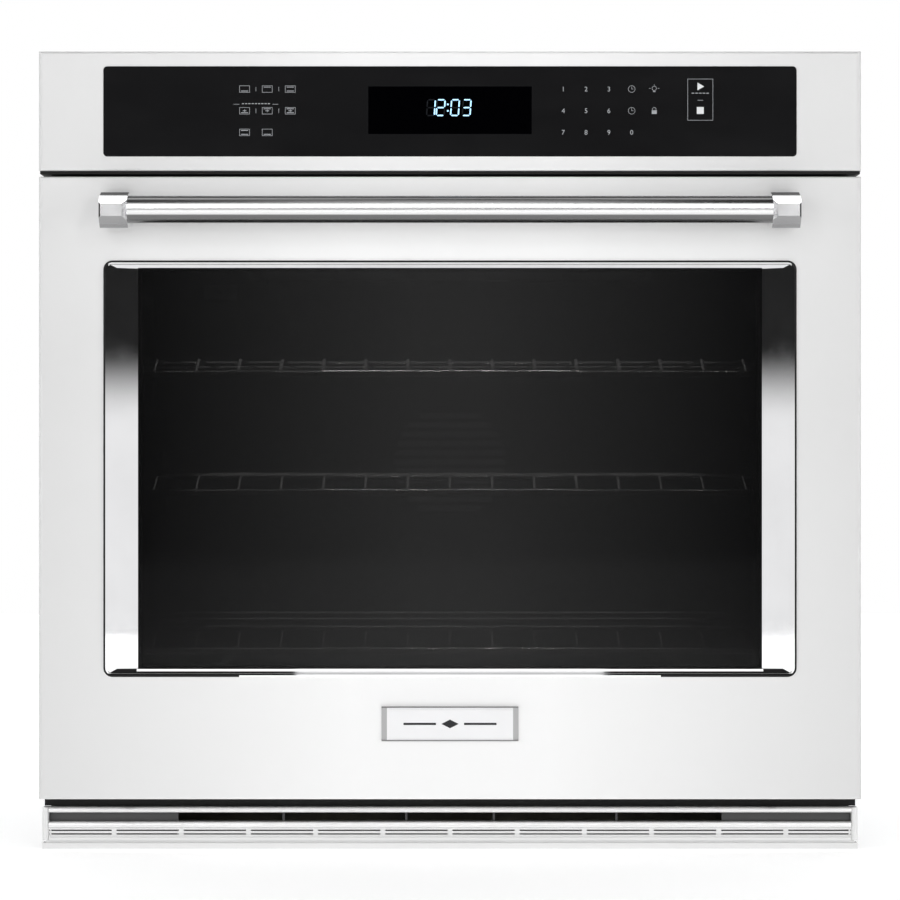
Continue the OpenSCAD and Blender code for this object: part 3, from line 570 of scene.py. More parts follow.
class Sheet(Pieces):
    """Collects prisms that stand on a vertical plane facing the front."""

    def prism(self, outline: list[Point2], y0: float, y1: float) -> "Sheet":
        """Adds a prism.

        Args:
            outline: Its corners as x and z, in order.
            y0: Front plane.
            y1: Back plane.

        Returns:
            This sheet, for chaining.
        """
        front = [self.mesh.verts.new((x, y0, z)) for x, z in outline]
        back = [self.mesh.verts.new((x, y1, z)) for x, z in outline]
        self.join(front, back)
        return self

    def block(self, x: float, z: float, width: float, height: float,
              y0: float, y1: float) -> "Sheet":
        """Adds a rectangular prism centred on x and z, and returns this sheet."""
        w, h = width / 2, height / 2
        return self.prism([(x - w, z - h), (x + w, z - h), (x + w, z + h), (x - w, z + h)], y0, y1)

    def frame(self, x: float, z: float, width: float, height: float, line: float,
              y0: float, y1: float) -> "Sheet":
        """Adds a rectangular outline.

        Args:
            x: Centre.
            z: Centre.
            width: Outer width.
            height: Outer height.
            line: Width of the line.
            y0: Front plane.
            y1: Back plane.

        Returns:
            This sheet, for chaining.
        """
        for side in (-1, 1):
            self.block(x, z + side * (height - line) / 2, width, line, y0, y1)
            self.block(x + side * (width - line) / 2, z, line, height - 2 * line, y0, y1)
        return self

    def ribbon(self, edges: list[tuple[Point2, Point2]], y0: float, y1: float) -> "Sheet":
        """Adds a band along pairs of outer and inner points.

        Args:
            edges: Outer and inner point of each step.
            y0: Front plane.
            y1: Back plane.

        Returns:
            This sheet, for chaining.
        """
        for (a, b), (c, d) in zip(edges, edges[1:]):
            self.prism([a, c, d, b], y0, y1)
        return self

    def disc(self, x: float, z: float, radius: float, y0: float, y1: float) -> "Sheet":
        """Adds a round prism centred on x and z, and returns this sheet."""
        return self.prism([(x + a, z + b) for a, b in polygon(radius, 20)], y0, y1)

    def figure(self, text: str, x: float, z: float, height: float, y0: float, y1: float) -> "Sheet":
        """Adds a number in plain type.

        Args:
            text: The digits.
            x: Centre.
            z: Centre.
            height: Height of a digit.
            y0: Front plane.
            y1: Back plane; not used, as the figure is flat at y0.

        Returns:
            This sheet, for chaining.
        """
        curve = bpy.data.curves.new("figure", "FONT")
        curve.body, curve.size, curve.resolution_u = text, height / 0.7, 3
        holder = bpy.data.objects.new("figure", curve)
        bpy.context.scene.collection.objects.link(holder)
        bpy.context.view_layer.update()
        shaped = holder.evaluated_get(bpy.context.evaluated_depsgraph_get())
        flat = bpy.data.meshes.new_from_object(shaped)
        bpy.data.objects.remove(holder)
        bpy.data.curves.remove(curve)
        places = [v.co.copy() for v in flat.vertices]
        mid_x = (min(p.x for p in places) + max(p.x for p in places)) / 2
        mid_z = (min(p.y for p in places) + max(p.y for p in places)) / 2
        made = [self.mesh.verts.new((p.x - mid_x + x, y0, p.y - mid_z + z)) for p in places]
        for face in flat.polygons:
            self.mesh.faces.new([made[i] for i in face.vertices])
        bpy.data.meshes.remove(flat)
        return self


class Side(Enum):
    """Faces of the case that pressed work and screws stand out of."""

    LEFT = ((0, -1, 0), (0, 0, 1), (-1, 0, 0))
    RIGHT = ((0, 1, 0), (0, 0, 1), (1, 0, 0))
    TOP = ((1, 0, 0), (0, 1, 0), (0, 0, 1))

    def place(self, x: float, y: float, z: float) -> Matrix:
        """Returns the frame of a piece that stands at a point of this face."""
        turned = Matrix(self.value).transposed().to_4x4()
        return Matrix.Translation((x, y, z)) @ turned


def stadium(width: float, height: float, steps: int = 10) -> list[Point2]:
    """Draws an upright outline with round ends.

    Args:
        width: Full width.
        height: Full height.
        steps: Strokes of each end.

    Returns:
        Its corners about its middle.
    """
    radius = width / 2
    ends = []
    for start, middle in ((0.0, height / 2 - radius), (math.pi, radius - height / 2)):
        for i in range(steps + 1):
            a = start + math.pi * i / steps
            ends.append((radius * math.cos(a), middle + radius * math.sin(a)))
    return ends


def polygon(radius: float, corners: int) -> list[Point2]:
    """Returns a regular outline with this many corners."""
    turn = [2 * math.pi * i / corners for i in range(corners)]
    return [(radius * math.cos(a), radius * math.sin(a)) for a in turn]


class Press(Pieces):
    """Collects pads that stand out of the faces of the case."""

    def pad(self, outline: list[Point2], at: Matrix, base: float, top: float,
            last: float = 1.0) -> None:
        """Adds a pad whose outline may shrink from its base to its top.

        A round outline shrinks evenly. Any other keeps the same margin all round, and a corner
        on its middle line moves down by that margin, which skews the crown of a hex head.

        Args:
            outline: Its outline about its middle.
            at: Where it stands.
            base: Height of its base.
            top: Height of its top.
            last: Share of the outline's width left at its top.
        """
        wide = max(x for x, _ in outline)
        margin = wide * (1 - last)
        is_round = wide == max(y for _, y in outline)
        smaller = [(x * last, y * last if is_round else y - math.copysign(margin, y))
                   for x, y in outline]
        lower, upper = ([self.mesh.verts.new(at @ Vector((x, y, height))) for x, y in ring]
                        for ring, height in ((outline, base), (smaller, top)))
        self.join(upper, lower)


def as_object(mesh: bmesh.types.BMesh, name: str) -> bpy.types.Object:
    """Turns a bmesh into a linked object.

    Args:
        mesh: The mesh, which is freed.
        name: The object's name.

    Returns:
        The object.
    """
    data = bpy.data.meshes.new(name)
    mesh.to_mesh(data)
    mesh.free()
    made = bpy.data.objects.new(name, data)
    bpy.context.scene.collection.objects.link(made)
    return made


def dress(node: str, finish: Finish) -> None:
    """Gives a CAD node its finish.

    Args:
        node: The node's name.
        finish: The finish it wears.
    """
    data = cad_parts[node].data
    data.materials.clear()
    data.materials.append(finish.get())


def settle(piece: bpy.types.Object, body: Body, finish: Finish) -> None:
    """Finishes a new piece and ties it to its body.

    Args:
        piece: The piece.
        body: The body that it rides on.
        finish: The finish it wears.
    """
    piece.data.materials.clear()
    piece.data.materials.append(finish.get())
    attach(piece, body.value)
    log.info("%s rides on %s", piece.name, body.value)


@dataclass
class SubAssembly:
    """A group of CAD nodes and new pieces, dressed and built together."""

    finishes: dict[str, Finish] = field(default_factory=dict)

    def dress(self) -> None:
        """Gives the group's CAD nodes their finishes."""
        for node, finish in self.finishes.items():
            dress(node, finish)

    def build(self) -> None:
        """Makes the group's new pieces, where it has any."""

    def complete(self) -> None:
        """Dresses and builds the group, and reports it."""
        self.dress()
        self.build()
        log.info("%s is complete", type(self).__name__)


# ---------------- control panel


@dataclass(frozen=True)
class Mark:
    """A small printed mark: a ring's rise and radius, and bars as x, z, width and height."""

    ring: Point2
    bars: tuple[Bar, ...]


HAIR = 0.35
TIMER = Mark((0.0, 3.1), ((0.0, 1.1, HAIR, 2.2), (0.8, 0.0, 1.6, HAIR)))
LAMP = Mark((0.6, 2.0), ((0.0, -2.3, 2.2, 0.8), (-4.0, 0.6, 1.5, HAIR), (4.0, 0.6, 1.5, HAIR),
                         (0.0, 3.8, HAIR, 1.3)))
LOCK = Mark((1.4, 1.7), ((0.0, -1.2, 4.6, 3.4),))


class Heat(Enum):
    """What heats in a cooking function, as the bars that its mark shows."""

    TOP = ((0.0, 1.8, 6.6, 0.6),)
    BOTTOM = ((0.0, -1.8, 6.6, 0.6),)
    FAN = ((0.0, 0.0, 3.4, 0.6), (0.0, 0.0, 0.6, 2.2))


@dataclass
class ControlPanel(SubAssembly):
    """White panel with its touch glass, clock and printed marks. Sizes are in millimetres."""

    finishes: dict[str, Finish] = field(default_factory=lambda: {
        "control_panel": WHITE_ENAMEL, "control_glass": TOUCH_GLASS,
        # The air deflector is a real part; its near-black finish is also painted shade, keeping the
        # gap under the control panel black
        "display_module": BLACK_PLASTIC, "control_board": BOARD, "air_deflector": BLACK_STEEL,
    })
    key_columns: tuple[float, ...] = (104.8, 125.9, 147.0, 168.1)
    far_column: float = 189.0
    left_columns: tuple[float, ...] = (-190.1, -169.1, -147.8)
    rows: tuple[float, ...] = (707.0, 686.9, 666.9)
    number_height: float = 4.4
    window: Bar = (0.0, 687.4, 151.2, 44.0)
    digits: tuple[tuple[float, str], ...] = (
        (-17.6, "bc"), (-8.6, "abged"), (4.6, "abcdef"), (15.4, "abgcd"))
    digit_half: Point2 = (3.6, 7.25)
    digit_gaps: Point2 = (0.5, 0.45)
    digit_lean: float = 0.07
    segment: float = 1.25
    clock_z: float = 689.8
    colon: tuple[float, float, float] = (-2.0, 3.0, 0.85)
    mark_size: Point2 = (9.6, 6.4)
    divider: float = 4.0
    heading_rise: float = 6.6
    heading_dashes: tuple[int, Bar] = (9, (3.0, 0.0, 2.0, 0.8))
    heading_ends: Bar = (18.0, -0.6, 5.4, HAIR)
    box: Bar = (231.6, 697.2, 23.6, 38.5)
    box_rule: Bar = (0.0, -0.6, 5.0, HAIR)
    box_dashes: tuple[int, Bar] = (5, (3.4, 6.0, 2.4, 0.7))
    start_corners: tuple[Point2, ...] = ((-2.6, 8.6), (3.6, 12.2), (-2.6, 15.8))
    stop_square: Bar = (0.0, -10.0, 6.4, 6.4)
    ink: float = 0.06

    def build(self) -> None:
        """Prints the marks on the glass."""
        self.display_window()
        self.clock()
        self.keypad()
        self.functions()
        self.start_box()

    def planes(self, layer: int = 0) -> Point2:
        """Returns front and back planes of a printed layer in metres."""
        face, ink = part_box("control_glass")[0].y, self.ink * MM
        return face - ink * (layer + 1), face + ink

    def stroke(self, made: Sheet, bar: Bar, x: float = 0.0, z: float = 0.0) -> None:
        """Prints a bar, shifted by x and z."""
        across, up, width, height = bar
        made.block((x + across) * MM, (z + up) * MM, width * MM, height * MM, *self.planes())

    def dashes(self, made: Sheet, run: tuple[int, Bar], x: float, z: float) -> None:
        """Prints a level row of dashes, which stands for a word.

        Args:
            made: The sheet it is printed on.
            run: How many, and their spacing, rise, width and height.
            x: Middle of the row.
            z: Height that the rise counts from.
        """
        count, (pitch, up, width, height) = run
        for i in range(count):
            self.stroke(made, ((i - count // 2) * pitch, up, width, height), x, z)

    def ring(self, made: Sheet, x: float, z: float, radius: float, steps: int = 24) -> None:
        """Prints a thin ring of short strokes.

        Args:
            made: The sheet it is printed on.
            x: Centre.
            z: Centre.
            radius: Radius of the line's middle.
            steps: How many strokes.
        """
        turn = [2 * math.pi * i / steps for i in range(steps + 1)]
        outer, inner = ([((x + r * math.cos(a)) * MM, (z + r * math.sin(a)) * MM) for a in turn]
                        for r in (radius + HAIR / 2, radius - HAIR / 2))
        made.ribbon(list(zip(outer, inner)), *self.planes())

    def mark(self, made: Sheet, mark: Mark, x: float, z: float) -> None:
        """Prints a small mark.

        Args:
            made: The sheet it is printed on.
            mark: The mark.
            x: Centre.
            z: Centre.
        """
        rise, radius = mark.ring
        self.ring(made, x, z + rise, radius)
        for bar in mark.bars:
            self.stroke(made, bar, x, z)

    def display_window(self) -> None:
        """Adds the blacker window that the clock shows through."""
        made = Sheet()
        self.stroke(made, self.window)
        settle(made.done("display_window"), Body.CHASSIS, DISPLAY_SMOKE)

    def segment_digit(self, x: float, lit: str, on: Sheet, off: Sheet) -> None:
        """Adds one seven-segment digit.

        Args:
            x: Centre.
            lit: The letters of its lit segments.
            on: Sheet of the lit segments.
            off: Sheet of the unlit segments.
        """
        width, half = self.digit_half
        thick, lean = self.segment / 2, self.digit_lean
        places = {
            "a": (0, half, 1), "g": (0, 0, 1), "d": (0, -half, 1),
            "b": (width, half / 2, 0), "c": (width, -half / 2, 0),
            "f": (-width, half / 2, 0), "e": (-width, -half / 2, 0),
        }
        for letter, (dx, dz, flat) in places.items():
            long = width - self.digit_gaps[0] if flat else half / 2 - self.digit_gaps[1]
            tip = [(-long, 0), (-long + thick, thick), (long - thick, thick),
                   (long, 0), (long - thick, -thick), (-long + thick, -thick)]
            if not flat:
                tip = [(b, a) for a, b in tip]
            corners = [((x + dx + a + lean * (dz + b)) * MM, (self.clock_z + dz + b) * MM)
                       for a, b in tip]
            sheet, layer = (on, 2) if letter in lit else (off, 1)
            sheet.prism(corners, *self.planes(layer))

    def clock(self) -> None:
        """Adds the clock's four digits and its colon."""
        on, off = Sheet(), Sheet()
        for x, lit in self.digits:
            self.segment_digit(x, lit, on, off)
        x, rise, radius = self.colon
        for z in (self.clock_z - rise, self.clock_z + rise):
            on.disc(x * MM, z * MM, radius * MM, *self.planes(2))
        settle(on.done("clock_digits"), Body.CHASSIS, CLOCK_GLOW)
        settle(off.done("clock_unlit_segments"), Body.CHASSIS, CLOCK_OFF)

    def keypad(self) -> None:
        """Adds the numbers and the small marks beside them."""
        numbers, marks = Sheet(), Sheet()
        keys = [(str(n + 1), n % 3, n // 3) for n in range(9)] + [("0", 3, 2)]
        for text, column, row in keys:
            numbers.figure(text, self.key_columns[column] * MM, self.rows[row] * MM,
                           self.number_height * MM, *self.planes())
        for mark, column, row in ((TIMER, self.key_columns[3], 0), (TIMER, self.key_columns[3], 1),
                                  (LAMP, self.far_column, 0), (LOCK, self.far_column, 1)):
            self.mark(marks, mark, column, self.rows[row])
        settle(numbers.done("keypad_numbers"), Body.CHASSIS, PRINT_INK)
        settle(marks.done("keypad_marks"), Body.CHASSIS, PRINT_INK)

    def functions(self) -> None:
        """Adds the left group of function marks, their dividers and heading lines."""
        made = Sheet()
        top, bottom, fan = Heat.TOP, Heat.BOTTOM, Heat.FAN
        uses = (((bottom,), (top,), (top, bottom)),
                ((bottom, fan), (top, fan), (top, bottom, fan)),
                ((top, bottom), (bottom,)))
        wide, tall = self.mark_size
        for z, row in zip(self.rows, uses):
            for x, heats in zip(self.left_columns, row):
                made.frame(x * MM, z * MM, wide * MM, tall * MM, HAIR * MM, *self.planes())
                for bar in (bar for heat in heats for bar in heat.value):
                    self.stroke(made, bar, x, z)
        for z in self.rows[:2]:
            for left, right in zip(self.left_columns, self.left_columns[1:]):
                self.stroke(made, ((left + right) / 2, z, HAIR, self.divider))
        middle, height = sum(self.left_columns[:2]) / 2, self.rows[1] + self.heading_rise
        across, up, width, line = self.heading_ends
        for side in (-1, 1):
            self.stroke(made, (side * across, up, width, line), middle, height)
        self.dashes(made, self.heading_dashes, middle, height)
        settle(made.done("function_marks"), Body.CHASSIS, PRINT_INK)

    def start_box(self) -> None:
        """Adds the outlined box with its start and stop marks."""
        made, bright = Sheet(), Sheet()
        x, z, width, height = self.box
        made.frame(x * MM, z * MM, width * MM, height * MM, HAIR * MM, *self.planes())
        self.stroke(made, self.box_rule, x, z)
        self.dashes(made, self.box_dashes, x, z)
        settle(made.done("start_stop_box"), Body.CHASSIS, PRINT_INK)
        triangle = [((x + dx) * MM, (z + dz) * MM) for dx, dz in self.start_corners]
        bright.prism(triangle, *self.planes())
        self.stroke(bright, self.stop_square, x, z)
        settle(bright.done("start_stop_marks"), Body.CHASSIS, BRIGHT_INK)


# ---------------- door


@dataclass
class OvenDoor(SubAssembly):
    """Drop-down door with its window, handle and badge. Sizes are in millimetres."""

    finishes: dict[str, Finish] = field(default_factory=lambda: {
        "door_skin": WHITE_ENAMEL, "window_bezel": CHROME, "outer_glass": WINDOW_GLASS,
        "middle_glass": CLEAR_GLASS, "inner_glass": CLEAR_GLASS, "glass_frame": BLACK_STEEL,
        "door_inner_panel": PORCELAIN, "door_insulation": WOOL, "handle_bar": BRUSHED_BAR,
        "handle_bracket_left": CAST_CHROME, "handle_bracket_right": CAST_CHROME,
        "handle_bolts": ZINC, "badge": BADGE_METAL, "hinge_channel_left": ZINC,
        "hinge_channel_right": ZINC,
    })
    corner: float = 8.3
    seam: float = 1.75
    seam_depth: float = 0.5
    open_half: float = 195.0
    lip_size: Point2 = (2.4, 0.8)
    lip_setback: float = 2.2
    lip_overlap: Point2 = (5.6, 4.8)
    skin: float = 0.05
    edge_line: float = 1.1
    edge_inset: float = 0.5
    lozenge: Point2 = (8.0, 4.0)
    mark_bar: Point3 = (28.0, 30.0, 2.0)
    mark_depth: float = 0.2

    def build(self) -> None:
        """Adds the painted shadow line in the seam round the bezel, its bright inner lip and the
        badge's marks.
        """
        self.bezel_shadow_line()
        self.inner_lip()
        self.badge_marks()

    def bezel_shadow_line(self) -> None:
        """Adds a dark strip as painted shadow in the seam round the bezel's rim, open at the middle
        of its foot.
        """
        low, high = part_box("window_bezel")
        r, w, steps = self.corner * MM, self.seam * MM, 8
        end = self.open_half * MM
        edges = [((-end, low.z), (-end, low.z + w))]
        for cx, cz, start in ((low.x + r, low.z + r, 270), (low.x + r, high.z - r, 180),
                              (high.x - r, high.z - r, 90), (high.x - r, low.z + r, 0)):
            for i in range(steps + 1):
                a = math.radians(start - 90 * i / steps)
                edges.append(((cx + r * math.cos(a), cz + r * math.sin(a)),
                              (cx + (r - w) * math.cos(a), cz + (r - w) * math.sin(a))))
        edges.append(((end, low.z), (end, low.z + w)))
        # Painted shadow: a dark strip laid in the seam round the bezel
        made = Sheet().ribbon(edges, low.y - self.skin * MM, low.y + self.seam_depth * MM)
        settle(made.done("window_bezel_shadow_line"), Body.DOOR, SEAM_SHADOW)

    def inner_lip(self) -> None:
        """Adds the bright lip that holds the glass along the foot of the window."""
        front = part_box("window_bezel")[0].y + self.lip_setback * MM
        pane_low, pane_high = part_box("outer_glass")
        half, top = pane_high.x - self.lip_overlap[0] * MM, pane_low.z + self.lip_overlap[1] * MM
        height, thick = (size * MM for size in self.lip_size)
        made = Sheet().block(0.0, top - height / 2, 2 * half, height, front, front + thick)
        settle(made.done("window_inner_lip"), Body.DOOR, CHROME)

    def badge_marks(self) -> None:
        """Adds the badge's edge line and a plain mark of a lozenge between two bars."""
        low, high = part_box("badge")
        z, rise = (low.z + high.z) / 2, (high.z - low.z) / 2 - self.edge_inset * MM
        edge, mark, skin = Sheet(), Sheet(), self.skin * MM
        for side in (-1, 1):
            edge.block(0.0, z + side * rise, high.x - low.x, self.edge_line * MM,
                       low.y - skin, high.y)
        settle(edge.done("badge_edge_lines"), Body.DOOR, BADGE_EDGE)
        planes = (low.y - 2 * skin, low.y + self.mark_depth * MM)
        wide, tall = (half * MM for half in self.lozenge)
        mark.prism([(-wide, z), (0.0, z - tall), (wide, z), (0.0, z + tall)], *planes)
        across, width, height = self.mark_bar
        for side in (-1, 1):
            mark.block(side * across * MM, z, width * MM, height * MM, *planes)
        settle(mark.done("badge_mark"), Body.DOOR, BADGE_INK)


# ---------------- chassis and cavity


@dataclass
class Chassis(SubAssembly):
    """Sheet-metal case, supply, cooling and vent trim. Sizes are in millimetres."""

    finishes: dict[str, Finish] = field(default_factory=lambda: {
        "side_panel_left": ZINC, "side_panel_right": ZINC, "top_panel": ZINC, "back_panel": ZINC,
        "base_pan": ZINC, "base_rails": BLACK_STEEL, "front_frame": BLACK_ENAMEL,
        "hinge_arm_left": PLAIN_STEEL, "hinge_arm_right": PLAIN_STEEL, "hinge_receivers": ZINC,
        "latch_motor": BLACK_STEEL, "latch_hook": PLAIN_STEEL, "door_switch": BLACK_PLASTIC,
        "switch_plunger": GREY_PLASTIC, "blower_housing": ALU_SHEET, "blower_wheel": ALU_SHEET,
        "blower_motor": BLACK_STEEL, "junction_box": ZINC, "conduit_gland": ALU_SHEET,
        "vent_trim": TRIM_METAL, "vent_rails": BRIGHT_RAIL, "vent_end_caps": TRIM_METAL,
    })
    screw_heights: tuple[float, ...] = (60.0, 190.0, 320.0, 450.0, 580.0, 670.0)
    rib_places: tuple[float, ...] = (-120.0, 20.0, 160.0)
    rib_size: Point2 = (26.0, 440.0)
    rib_rise: float = 1.6
    rib_sink: float = 0.2
    rib_crown: float = 0.82
    edge: float = 9.0
    top_screws: tuple[float, ...] = (-300.0, -100.0, 100.0, 300.0)
    screw_sink: float = 0.3
    washer: tuple[float, float, float] = (5.2, 0.8, 0.9)
    hex_head: tuple[float, float, float, float] = (3.9, 2.6, 3.2, 0.8)

    def build(self) -> None:
        """Adds the pressed ribs and the screws of the case."""
        self.side_ribs()
        self.case_screws()

    def flanks(self) -> list[tuple[Side, float, Vector, Vector]]:
        """Returns each flank with its outer plane and the end corners of its sheet."""
        left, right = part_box("side_panel_left"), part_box("side_panel_right")
        return [(Side.LEFT, left[0].x, *left), (Side.RIGHT, right[1].x, *right)]

    def side_ribs(self) -> None:
        """Adds three stiffening ribs pressed into each flank."""
        outline = stadium(self.rib_size[0] * MM, self.rib_size[1] * MM)
        for side, face, low, high in self.flanks():
            made = Press()
            for y in self.rib_places:
                at = side.place(face, y * MM, (low.z + high.z) / 2)
                made.pad(outline, at, -self.rib_sink * MM, 0.0)
                made.pad(outline, at, 0.0, self.rib_rise * MM, self.rib_crown)
            settle(made.done("side_ribs_" + side.name.lower()), Body.CHASSIS, ZINC)

    def screw(self, made: Press, at: Matrix) -> None:
        """Adds a hex head with its washer face.

        Args:
            made: The pads it is added to.
            at: Where it stands.
        """
        washer, seat, washer_crown = self.washer
        head, shoulder, top, head_crown = self.hex_head
        made.pad(polygon(washer * MM, 24), at, -self.screw_sink * MM, seat * MM, washer_crown)
        made.pad(polygon(head * MM, 6), at, seat * MM, shoulder * MM)
        made.pad(polygon(head * MM, 6), at, shoulder * MM, top * MM, head_crown)

    def case_screws(self) -> None:
        """Adds the hex screws along the edges of the flanks and the top."""
        made, edge = Press(), self.edge * MM
        for side, face, low, high in self.flanks():
            for y in (low.y + edge, high.y - edge):
                for z in self.screw_heights:
                    self.screw(made, side.place(face, y, z * MM))
        low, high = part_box("top_panel")
        for x in self.top_screws:
            for y in (low.y + edge, high.y - edge):
                self.screw(made, Side.TOP.place(x * MM, y, high.z))
        settle(made.done("case_screws"), Body.CHASSIS, SCREW_ZINC)


@dataclass
class Cavity(SubAssembly):
    """Oven liner with heaters, fan, lamps, gasket and racks."""

    finishes: dict[str, Finish] = field(default_factory=lambda: {
        "cavity_liner": PORCELAIN, "insulation": WOOL, "door_gasket": BRAID, "bake_element": SHEATH,
        "broil_element": SHEATH, "element_clips": PLAIN_STEEL, "convection_element": SHEATH,
        "fan_cover": PORCELAIN, "fan_motor": BLACK_STEEL, "convection_fan": PLAIN_STEEL,
        "lamp_housings": DARK_STEEL, "lamp_lenses": LENS_GLASS, "temperature_sensor": PLAIN_STEEL,
        "rack_upper": RACK_WIRE, "rack_middle": RACK_WIRE, "rack_lower": RACK_WIRE,
    })


# ---------------- studio


class Work(Enum):
    """What a softbox is there for."""

    BOTH = "light and reflections"
    FILL = "light only"
    SHINE = "reflections only"


@dataclass(frozen=True)
class Softbox:
    """A rectangular softbox, where a glow of 1 is as bright as the white backdrop."""

    name: str
    centre: Point3
    aim: Point3
    size: Point2
    glow: float
    work: Work = Work.BOTH

    def hang(self) -> None:
        """Adds the light to the scene."""
        light = bpy.data.lights.new(self.name, "AREA")
        light.shape, light.size, light.size_y = "RECTANGLE", *self.size
        light.energy = self.glow * math.pi * self.size[0] * self.size[1]
        made = bpy.data.objects.new(self.name, light)
        made.location = self.centre
        made.rotation_mode = "QUATERNION"
        toward = Vector(self.aim) - Vector(self.centre)
        made.rotation_quaternion = toward.to_track_quat("-Z", "Y")
        made.visible_camera = False
        made.visible_diffuse = self.work is not Work.SHINE
        made.visible_glossy = self.work is not Work.FILL
        bpy.context.scene.collection.objects.link(made)
        log.info("%s hangs at %s", self.name, self.centre)


def mirrored(side: float, name: str) -> list[Softbox]:
    """Lists the softboxes that hang on both sides.

    Args:
        side: -1 on the left and 1 on the right.
        name: What their names begin with.

    Returns:
        The softboxes of this side.
    """
    front, low = (0.0, -0.3, 0.4), (0.0, -0.3, 0.6)
    return [
        Softbox(name + "_front_softbox", (side * 1.1, -3.4, 1.35), front, (0.5, 1.0), 6.5),
        Softbox(name + "_side_softbox", (side * 3.2, -1.9, 0.9), front, (1.6, 1.6), 4.2),
        Softbox(name + "_low_softbox", (side * 0.62, -3.4, 0.82), low, (0.34, 0.15), 1.1),
        Softbox(name + "_top_softbox", (side * 0.45, -0.2, 2.0), (0.3 * side, -0.3, 0.6),
                (0.4, 0.6), 1.2),
    ]


SOFTBOXES = (
    Softbox("key_softbox", (0.0, -3.3, 2.2), (0.0, -0.3, 0.45), (3.6, 2.0), 1.7, Work.SHINE),
    Softbox("fill_softbox", (0.0, -3.3, 0.5), (0.0, -0.3, 0.45), (3.0, 0.9), 2.9, Work.FILL),
    Softbox("rear_softbox", (0.0, 3.6, 1.7), (0.0, 0.3, 0.35), (2.6, 1.6), 1.1),
    Softbox("roof_softbox", (0.0, 0.2, 2.7), (0.0, 0.1, 0.0), (1.4, 0.8), 1.5),
    *mirrored(-1, "left"), *mirrored(1, "right"),
    Softbox("overhead_softbox", (0.0, -1.0, 2.0), (0.0, -0.9, 0.0), (0.49, 0.9), 1.0),
    Softbox("low_softbox", (0.0, -3.4, 0.82), (0.0, -0.3, 0.6), (0.86, 0.15), 0.75, Work.SHINE),
    Softbox("cavity_glow", (0.0, 0.06, 0.535), (0.0, 0.06, 0.2), (0.54, 0.34), 0.35, Work.SHINE),
    Softbox("rack_edge_glow", (0.0, -0.231, 0.572), (0.0, -0.231, 0.1), (0.56, 0.006), 8.0,
            Work.SHINE),
    Softbox("rack_bar_glow", (0.0, -0.2315, 0.505), (0.0, -0.2315, 0.1), (0.245, 0.006), 26.0,
            Work.SHINE),
)


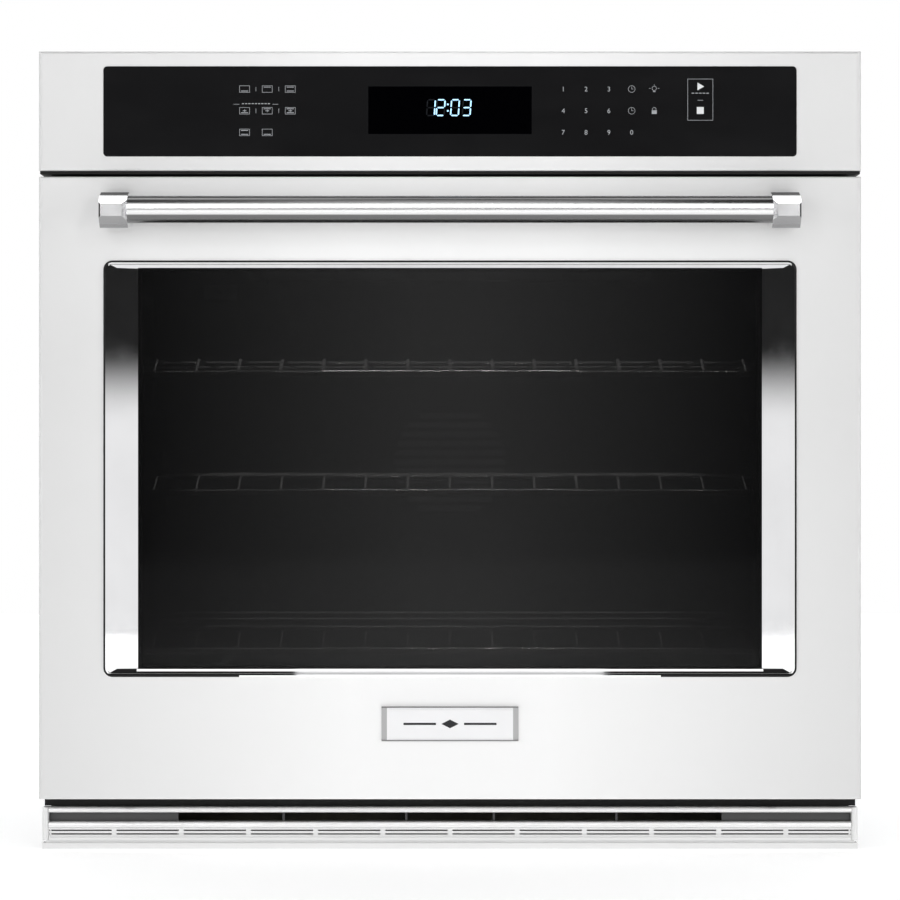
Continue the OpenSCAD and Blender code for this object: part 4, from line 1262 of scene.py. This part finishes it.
@dataclass
class Studio:
    """White floor and backdrop, softboxes, gradient cards and camera. Sizes are in metres."""

    camera_distance: float = 2.95
    camera_height: float = 0.373
    focal: float = 127.5
    sensor: float = 36.0
    floor_glow: float = 0.58
    room_half: float = 8.0
    room_back: float = 4.0
    room_top: float = 6.0
    card_x: Point2 = (1.3, 2.9)
    card_y: Point2 = (-3.15, -2.2)
    card_z: Point2 = (0.02, 1.1)
    card_fade: Point2 = (0.43, 0.575)
    room_dark: float = 0.02

    def plane(self, name: str, corners: list[Point3], glow: float,
              fade: Point2 | None = None) -> None:
        """Adds a white stage plane. The camera sees only the floor.

        Args:
            name: Its name.
            corners: Its four corners.
            glow: How much light it gives by itself.
            fade: Heights between which its own light fades out.
        """
        mesh = bmesh.new()
        mesh.faces.new([mesh.verts.new(c) for c in corners])
        made = as_object(mesh, name)
        s = Shader(name + "_paint")
        if fade:
            glowing = s.spread(s.part(s.where(), "Z"), glow, 0.0, *fade)
            glowing.node.interpolation_type = "SMOOTHSTEP"
            s.drive(Emission_Strength=glowing)
            s.fix(Base_Color=(0.004, 0.004, 0.004), Roughness=1.0, Emission_Color=(1.0, 1.0, 1.0))
        else:
            s.drive(Base_Color=s.tint(s.noise(s.where(), 3.0), (0.8, 0.8, 0.8), (0.82, 0.82, 0.82)))
            s.fix(Roughness=0.9, Emission_Color=(1.0, 1.0, 1.0), Emission_Strength=glow)
        made.data.materials.append(s.material)
        made.visible_camera = name == "floor"

    def add_room(self) -> None:
        """Adds the world, which is white to the camera and nearly dark to everything else."""
        world = bpy.data.worlds.new("studio_room")
        world.use_nodes = True
        nodes, links = world.node_tree.nodes, world.node_tree.links
        room = nodes["Background"].inputs
        room["Color"].default_value = (1.0, 1.0, 1.0, 1.0)
        seen, path = nodes.new("ShaderNodeMapRange"), nodes.new("ShaderNodeLightPath")
        seen.inputs["To Min"].default_value = self.room_dark
        seen.inputs["To Max"].default_value = 1.0
        links.new(path.outputs["Is Camera Ray"], seen.inputs["Value"])
        links.new(seen.outputs["Result"], room["Strength"])
        bpy.context.scene.world = world

    def add_planes(self) -> None:
        """Adds the floor, the backdrop and the cards that the window bezel mirrors."""
        wide, back, top = self.room_half, self.room_back, self.room_top
        self.plane("floor", [(-wide, -wide, 0), (wide, -wide, 0),
                             (wide, back, 0), (-wide, back, 0)], self.floor_glow)
        self.plane("backdrop", [(-wide, back, 0), (wide, back, 0),
                                (wide, back, top), (-wide, back, top)], 1.0)
        for side, name in ((-1, "left_card"), (1, "right_card")):
            near, far = (side * x for x in self.card_x)
            (near_y, far_y), (low, high) = self.card_y, self.card_z
            self.plane(name, [(near, near_y, low), (far, far_y, low),
                              (far, far_y, high), (near, near_y, high)], 1.0, self.card_fade)

    def build(self) -> None:
        """Sets up world, floor, backdrop, lights and camera."""
        bpy.context.scene.view_settings.view_transform = "Standard"
        self.add_room()
        self.add_planes()
        for softbox in SOFTBOXES:
            softbox.hang()
        self.add_camera()
        log.info("studio is lit")

    def add_camera(self) -> None:
        """Adds the level camera in front of the door."""
        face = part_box("door_skin")[0].y
        data = bpy.data.cameras.new("camera")
        data.lens, data.sensor_width = self.focal, self.sensor
        made = bpy.data.objects.new("camera", data)
        made.location = (0.0, face - self.camera_distance, self.camera_height)
        made.rotation_euler = (math.radians(90), 0.0, 0.0)
        bpy.context.scene.collection.objects.link(made)
        bpy.context.scene.camera = made


def main() -> None:
    """Builds the oven's looks in order."""
    logging.basicConfig(level=logging.INFO, format="%(name)s: %(message)s")
    Studio().build()
    for group in (ControlPanel(), OvenDoor(), Chassis(), Cavity()):
        group.complete()


if __name__ == "__main__":
    main()
